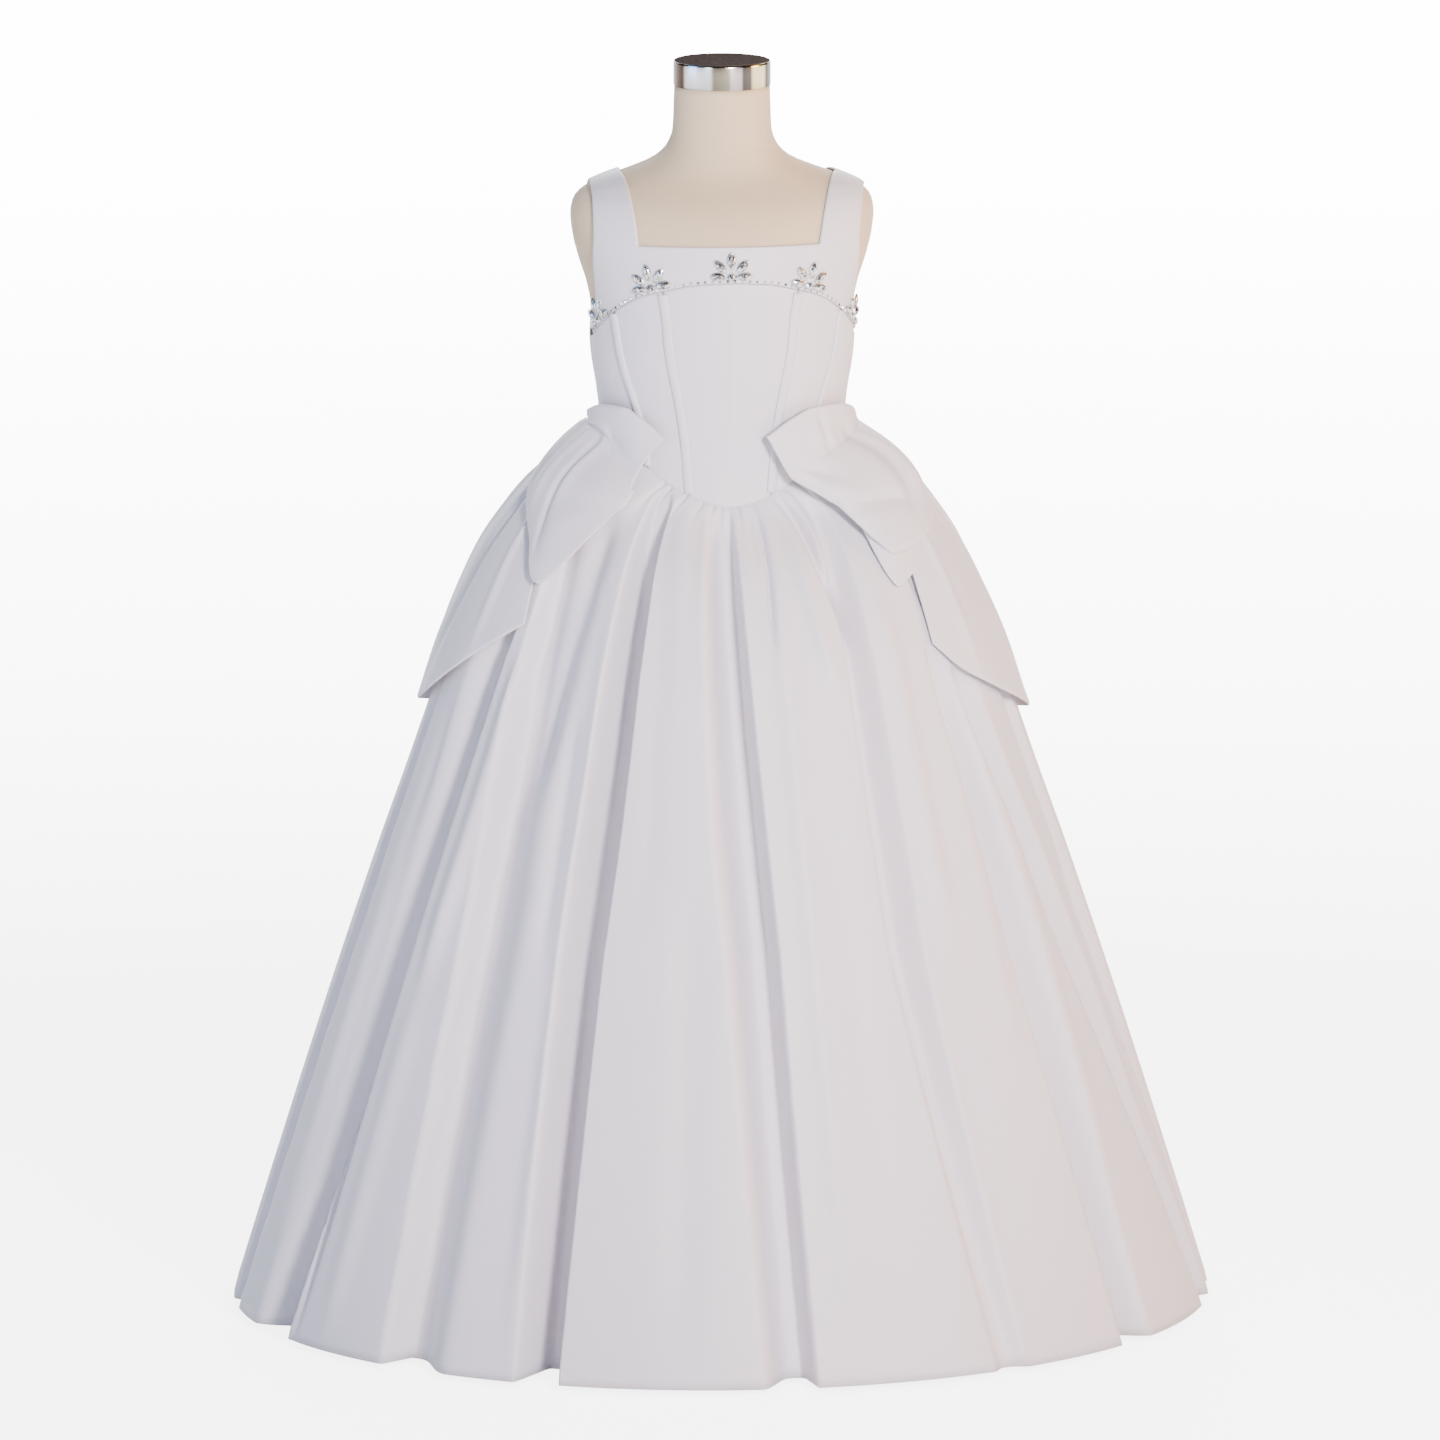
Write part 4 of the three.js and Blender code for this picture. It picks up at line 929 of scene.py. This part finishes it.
def latheObject(name, profile, sides):  # a profile of (radius, z) from the axis below to the axis above, turned
    turn = np.linspace(0, 2 * np.pi, sides, endpoint=False)
    r, z = np.array(profile[1:-1], float).T[..., None]
    rings = np.stack([r * np.cos(turn), r * np.sin(turn), z + 0 * turn], -1)
    return joinedParts(name, [closedRings(rings)], True)


def roundedProfile(corners, radius, steps=5):  # an outline of (r, z) with each inner corner cut by a small arc
    corners = [np.array(c, float) for c in corners]
    points = [corners[0]]
    for before, corner, after in zip(corners, corners[1:], corners[2:]):
        reach = min(radius, np.linalg.norm(before - corner) / 2, np.linalg.norm(after - corner) / 2)
        start = corner + (before - corner) / np.linalg.norm(before - corner) * reach
        end = corner + (after - corner) / np.linalg.norm(after - corner) * reach
        for p in np.linspace(0, 1, steps):
            points.append(start * (1 - p) ** 2 + 2 * corner * p * (1 - p) + end * p * p)
    points.append(corners[-1])
    return points


form = dict(capRadius=41.5, capHeight=22, capSoft=1.5, lidDepth=0.9, poleRadius=14, baseRadius=135, baseHeight=12,
            baseSlope=(8, 3), sides=144, levels=112)


def makeTorso():  # the form's own sections, drawn in by 0.2 mm
    heights = formSections["z"]
    angle, z = np.meshgrid(np.linspace(0, 360, form["sides"], endpoint=False),
                           np.linspace(heights[0], heights[-1], form["levels"]))
    torso = joinedParts("formTorsoCover", [closedRings(onSection(body, angle, z, -0.2))], True)
    finishPiece(torso, linen, ["form_torso"])


def makeCap():  # a metal rim with a dull lid let into its top
    bottom = formSections["z"][-1] + cut["seamGap"]
    top = bottom + form["capHeight"]
    radius, soft = form["capRadius"], form["capSoft"]
    corners = [(0, bottom), (radius, bottom), (radius, top - soft), (radius - soft, top), (0, top)]
    cap = latheObject("neckCapMetal", roundedProfile(corners, 1.2), 96)
    finishPiece(cap, capMetal, ["form_neck_cap"])
    cap.data.materials.append(darkLid)
    onLid = [face.center.z > (top - form["lidDepth"]) * mm for face in cap.data.polygons]
    cap.data.polygons.foreach_set("material_index", np.array(onLid, np.int32))


def makeStand():  # a round pole from the base up to the torso, and a round base with a sloping rim
    radius, top = form["poleRadius"], form["baseHeight"]
    foot, head = top + cut["seamGap"], formSections["z"][0] - cut["seamGap"]
    pole = latheObject("poleTube", roundedProfile([(0, foot), (radius, foot), (radius, head), (0, head)], 0.8), 48)
    finishPiece(pole, standPaint, ["form_pole"])
    rim, slope = form["baseRadius"], form["baseSlope"]
    corners = [(0, 0), (rim, 0), (rim, top - slope[1]), (rim - slope[0], top), (0, top)]
    base = latheObject("basePlate", roundedProfile(corners, 1.5), 128)
    finishPiece(base, standPaint, ["form_base"])


makeTorso()
makeCap()
makeStand()
print("dress form turned")


# Rhinestones

# Five petals open like a fan above a round stone: the direction and distance of each, in degrees and mm
flower = dict(petals=[(2, 11.2), (43, 13.0), (90, 13.5), (137, 13.0), (178, 11.2)], petalLength=13.2, petalWidth=7.0,
              stone=2.6, centre=3.3, aboveSeam=5.2, prongRadius=0.55, prongHeight=1.7, prongReach=0.93, clothRadius=105)
# angle round the body, and the turn of the flower on the cloth
flowerPlaces = {"centre": (0, 0), "left": (-34, 14), "right": (34, -14), "far_left": (-71, 30), "far_right": (71, -30)}
chain = dict(spacing=6.2, radius=1.3, aboveSeam=2.0, fromAngle=-79, toAngle=79)


def yokeFrame(angle, z):  # a point on the outside of the yoke, and its across, upward and outward directions
    normal = outwardAt(lambda a, h: onSection(body, a, h), angle, z, 0.5)
    across = unit(np.cross([0.0, 0, 1], normal))
    point = onSection(body, angle, z) + normal * (cut["bodyEase"] + cut["bodiceCloth"])
    return point, across, np.cross(normal, across), normal


def stoneRings(outline, height, levels):  # a cut stone: its outline drawn in at each level of (part, rise)
    return closedRings(np.array([np.column_stack([outline * part, np.full(len(outline), height * rise)])
                                 for part, rise in levels]))


def roundOutline(corners):  # a unit circle
    around = np.linspace(0, 2 * np.pi, corners, endpoint=False)
    return np.column_stack([np.cos(around), np.sin(around)])


def turned2d(points, angle):  # turned about z
    c, s = math.cos(angle), math.sin(angle)
    x, y, z = points.T
    return np.column_stack([x * c - y * s, x * s + y * c, z])


def makeFlower(name, angle, turn):  # cups and prongs in one mesh, stones in another, laid on the yoke at an angle
    halfLong, halfWide = flower["petalLength"] / 2, flower["petalWidth"] / 2
    ring = roundOutline(12)
    petal = ring * np.column_stack([np.full(12, halfLong), halfWide * np.abs(ring[:, 1]) ** 0.35])
    cupLevels = [(1.1, 0), (1.14, 0.5), (1.05, 0.9), (0.98, 1)]
    cutLevels = [(0.9, 0), (1, 0.32), (0.93, 0.45), (0.72, 0.74), (0.48, 0.98), (0.45, 1)]
    prong = stoneRings(ring * flower["prongRadius"], flower["prongHeight"], [(1, 0), (1, 0.8), (0.6, 1)])
    mount, stones = [], []

    def add(parts, shape, centre, spin):
        points, quads, triangles = shape
        points = turned2d(points, spin) + np.array(centre)
        parts.append((turned2d(points, math.radians(turn)), quads, triangles))

    for direction, reach in flower["petals"]:
        spin = math.radians(direction)
        x, y = math.cos(spin), math.sin(spin)
        add(mount, stoneRings(petal, 1.0, cupLevels), (reach * x, reach * y, 0.3), spin)
        add(stones, stoneRings(petal * 0.97, flower["stone"] - 0.6, cutLevels), (reach * x, reach * y, 0.9), spin)
        for end in (-1, 1):  # prongs over the tips of the petal
            tip = reach + end * halfLong * flower["prongReach"]
            add(mount, prong, (tip * x, tip * y, 0.4), 0)
    add(mount, stoneRings(ring * flower["centre"], 1.1, cupLevels), (0, 0, 0.3), 0)
    add(stones, stoneRings(ring * flower["centre"] * 0.97, flower["stone"], cutLevels), (0, 0, 0.9), 0.2)

    z = float(archZ(abs(angle))) + flower["aboveSeam"]
    point, across, upward, normal = yokeFrame(np.float64(angle), np.float64(z))

    def seat(parts):  # laid on the curved yoke: each point keeps its height off the cloth
        seated = []
        for points, quads, triangles in parts:
            x, y, rise = points.T
            flat = point + x[:, None] * across + y[:, None] * upward
            sag = x ** 2 / (2 * flower["clothRadius"])
            seated.append((flat + (rise - sag * 0.8)[:, None] * normal, quads, triangles))
        return seated
    stonesObject = joinedParts(f"flowerStones{titled(name)}", seat(stones))
    finishPiece(stonesObject, crystal, [f"rhinestone_flower_{name}"])
    finishPiece(joinedParts(f"flowerMount{titled(name)}", seat(mount)), nickel, [])


for name, (angle, turn) in flowerPlaces.items():
    makeFlower(name, angle, turn)


def makeChain():  # round stones in cups at even steps along the arched seam
    angles = np.linspace(chain["fromAngle"], chain["toAngle"], 4000)
    path = onSection(body, angles, archZ(np.abs(angles)) + chain["aboveSeam"])
    run = np.concatenate([[0], np.cumsum(np.linalg.norm(np.diff(path, axis=0), axis=1))])
    count = int(run[-1] / chain["spacing"])
    places = np.interp((np.arange(count) + 0.5) * run[-1] / count, run, angles)
    outline = roundOutline(8) * chain["radius"]
    stones, cups = [], []
    for angle in places:
        point, across, upward, normal = yokeFrame(np.float64(angle), archZ(abs(angle)) + chain["aboveSeam"])
        for parts, levels, height, rise in ((stones, [(1, 0), (0.95, 0.3), (0.5, 1)], 1.0, 0.55),
                                            (cups, [(1.05, 0), (1.08, 0.8), (0.95, 1)], 0.6, 0.1)):
            points, quads, triangles = stoneRings(outline, height, levels)
            x, y, z = points.T
            placed = point + x[:, None] * across + y[:, None] * upward + (z + rise)[:, None] * normal
            parts.append((placed, quads, triangles))
    finishPiece(joinedParts("chainStones", stones), crystal, [])
    finishPiece(joinedParts("chainCups", cups), nickel, [])


makeChain()
print("rhinestones set")


# Zip

for node in ("zip_slider", "zip_pull"):
    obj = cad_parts[node]
    obj.data.materials.clear()
    obj.data.materials.append(nickel)
print("zip finished")


# Floor, camera and light

studio = dict(floorSize=36, wallTop=18, sweepRadius=3, floorColor=(0.94, 0.94, 0.94), glowFrom=1.4, glowTo=6.5,
              nearGlow=0.08, farGlow=2.4, seenNear=5, seenFar=14, aimZ=0.508, distance=10.0, elevation=11.0,
              azimuth=-5.0, viewWidth=1.2384, slide=0.0017, sensor=36, worldColor=(1.0, 0.99, 0.92, 1),
              worldStrength=0.05)


def makeFloor():  # a pale sweep that glows softly away from the dress, as a lit studio sweep does
    half, radius = studio["floorSize"] / 2, studio["sweepRadius"]
    bend = np.linspace(0, np.pi / 2, 16)
    y = np.concatenate([[-half, 0], half - radius + radius * np.sin(bend), [half]])
    z = np.concatenate([[0, 0], radius - radius * np.cos(bend), [studio["wallTop"]]])
    x = np.array([-half, half])
    points = np.stack([np.repeat(x[None, :], len(y), 0), np.repeat(y[:, None], 2, 1), np.repeat(z[:, None], 2, 1)], -1)
    quads = gridQuads(1, len(y) - 1)[:, ::-1]
    floor = newObject("studioFloor", points.reshape(-1, 3) / mm, quads)
    g = Graph("paleFloor")
    haze = g.noise(g.place(), 0.6, 2)
    color = g.colors(haze, dimmed(studio["floorColor"], 0.985), studio["floorColor"])
    distance = g.node("ShaderNodeVectorMath", dict(operation="LENGTH"), {0: g.place()}, "Value")
    away = ((distance - studio["glowFrom"]) / (studio["glowTo"] - studio["glowFrom"])).clamp()
    glow = away * (studio["farGlow"] - studio["nearGlow"]) + studio["nearGlow"]
    seen = away * (studio["seenFar"] - studio["seenNear"]) + studio["seenNear"]
    looked = g.node("ShaderNodeLightPath", {}, {}, "Is Camera Ray")
    glow = glow * (1 - looked) + seen * looked  # an overexposed backdrop, whose light on the dress stays soft
    tint = g.node("ShaderNodeCombineColor", {}, {0: glow, 1: glow, 2: glow})
    floor.data.materials.append(g.finish(Base_Color=color, Roughness=0.85, Emission_Color=tint,
                                         Emission_Strength=1.0))
    floor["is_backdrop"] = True


def makeCamera():  # stands back from its aim along the azimuth and elevation, and looks straight at it
    turn, rise = math.radians(studio["azimuth"]), math.radians(studio["elevation"])
    back = np.array([math.sin(turn) * math.cos(rise), -math.cos(turn) * math.cos(rise), math.sin(rise)])
    right = np.array([math.cos(turn), math.sin(turn), 0])
    aim = np.array([0, 0, studio["aimZ"]]) - right * studio["slide"]
    data = bpy.data.cameras.new("studioCamera")
    data.sensor_width = studio["sensor"]
    data.lens = studio["sensor"] * studio["distance"] / studio["viewWidth"]
    data.clip_end = 60
    camera = inScene("studioCamera", data)
    camera.location = aim + back * studio["distance"]
    camera.rotation_euler = (math.pi / 2 - rise, 0, turn)
    bpy.context.scene.camera = camera


def areaLight(name, place, aim, size, power, color):  # turned to look from its place to its aim
    data = bpy.data.lights.new(name, "AREA")
    data.shape = "RECTANGLE"
    data.size, data.size_y = size
    data.energy = power
    data.color = color
    lamp = inScene(name, data)
    lamp.location = place
    direction = np.array(aim, float) - np.array(place, float)
    flat = math.hypot(direction[0], direction[1])
    lamp.rotation_euler = (math.pi / 2 + math.atan2(direction[2], flat), 0, math.atan2(-direction[0], direction[1]))


makeFloor()
makeCamera()
areaLight("keyRight", (0.82, -3.05, 1.58), (0, 0, 0.78), (0.5, 0.5), 170, (1.0, 0.92, 0.95))
areaLight("topSoft", (0.55, -1.7, 1.5), (0, 0, 0.88), (0.4, 0.4), 9, (1.0, 0.95, 0.96))
areaLight("keyLeft", (-1.9, -2.6, 1.4), (0, 0, 0.75), (0.8, 0.8), 20, (0.80, 0.88, 1.0))
areaLight("warmSide", (3.1, -0.6, 1.6), (0, 0, 0.85), (1.2, 1.2), 84, (1.0, 0.44, 0.11))
areaLight("coolSide", (-3.1, -0.6, 1.5), (0, 0, 0.6), (1.4, 1.8), 30, (0.20, 0.48, 1.0))
areaLight("backSoft", (0.3, 3.4, 2.4), (0, 0, 0.6), (1.6, 1.6), 110, (1.0, 0.98, 0.96))
world = bpy.data.worlds.new("studioWorld")
bpy.context.scene.world = world
world.use_nodes = True
sky = world.node_tree.nodes["Background"].inputs
sky["Color"].default_value = studio["worldColor"]
sky["Strength"].default_value = studio["worldStrength"]
print("studio lit")

low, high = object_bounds()
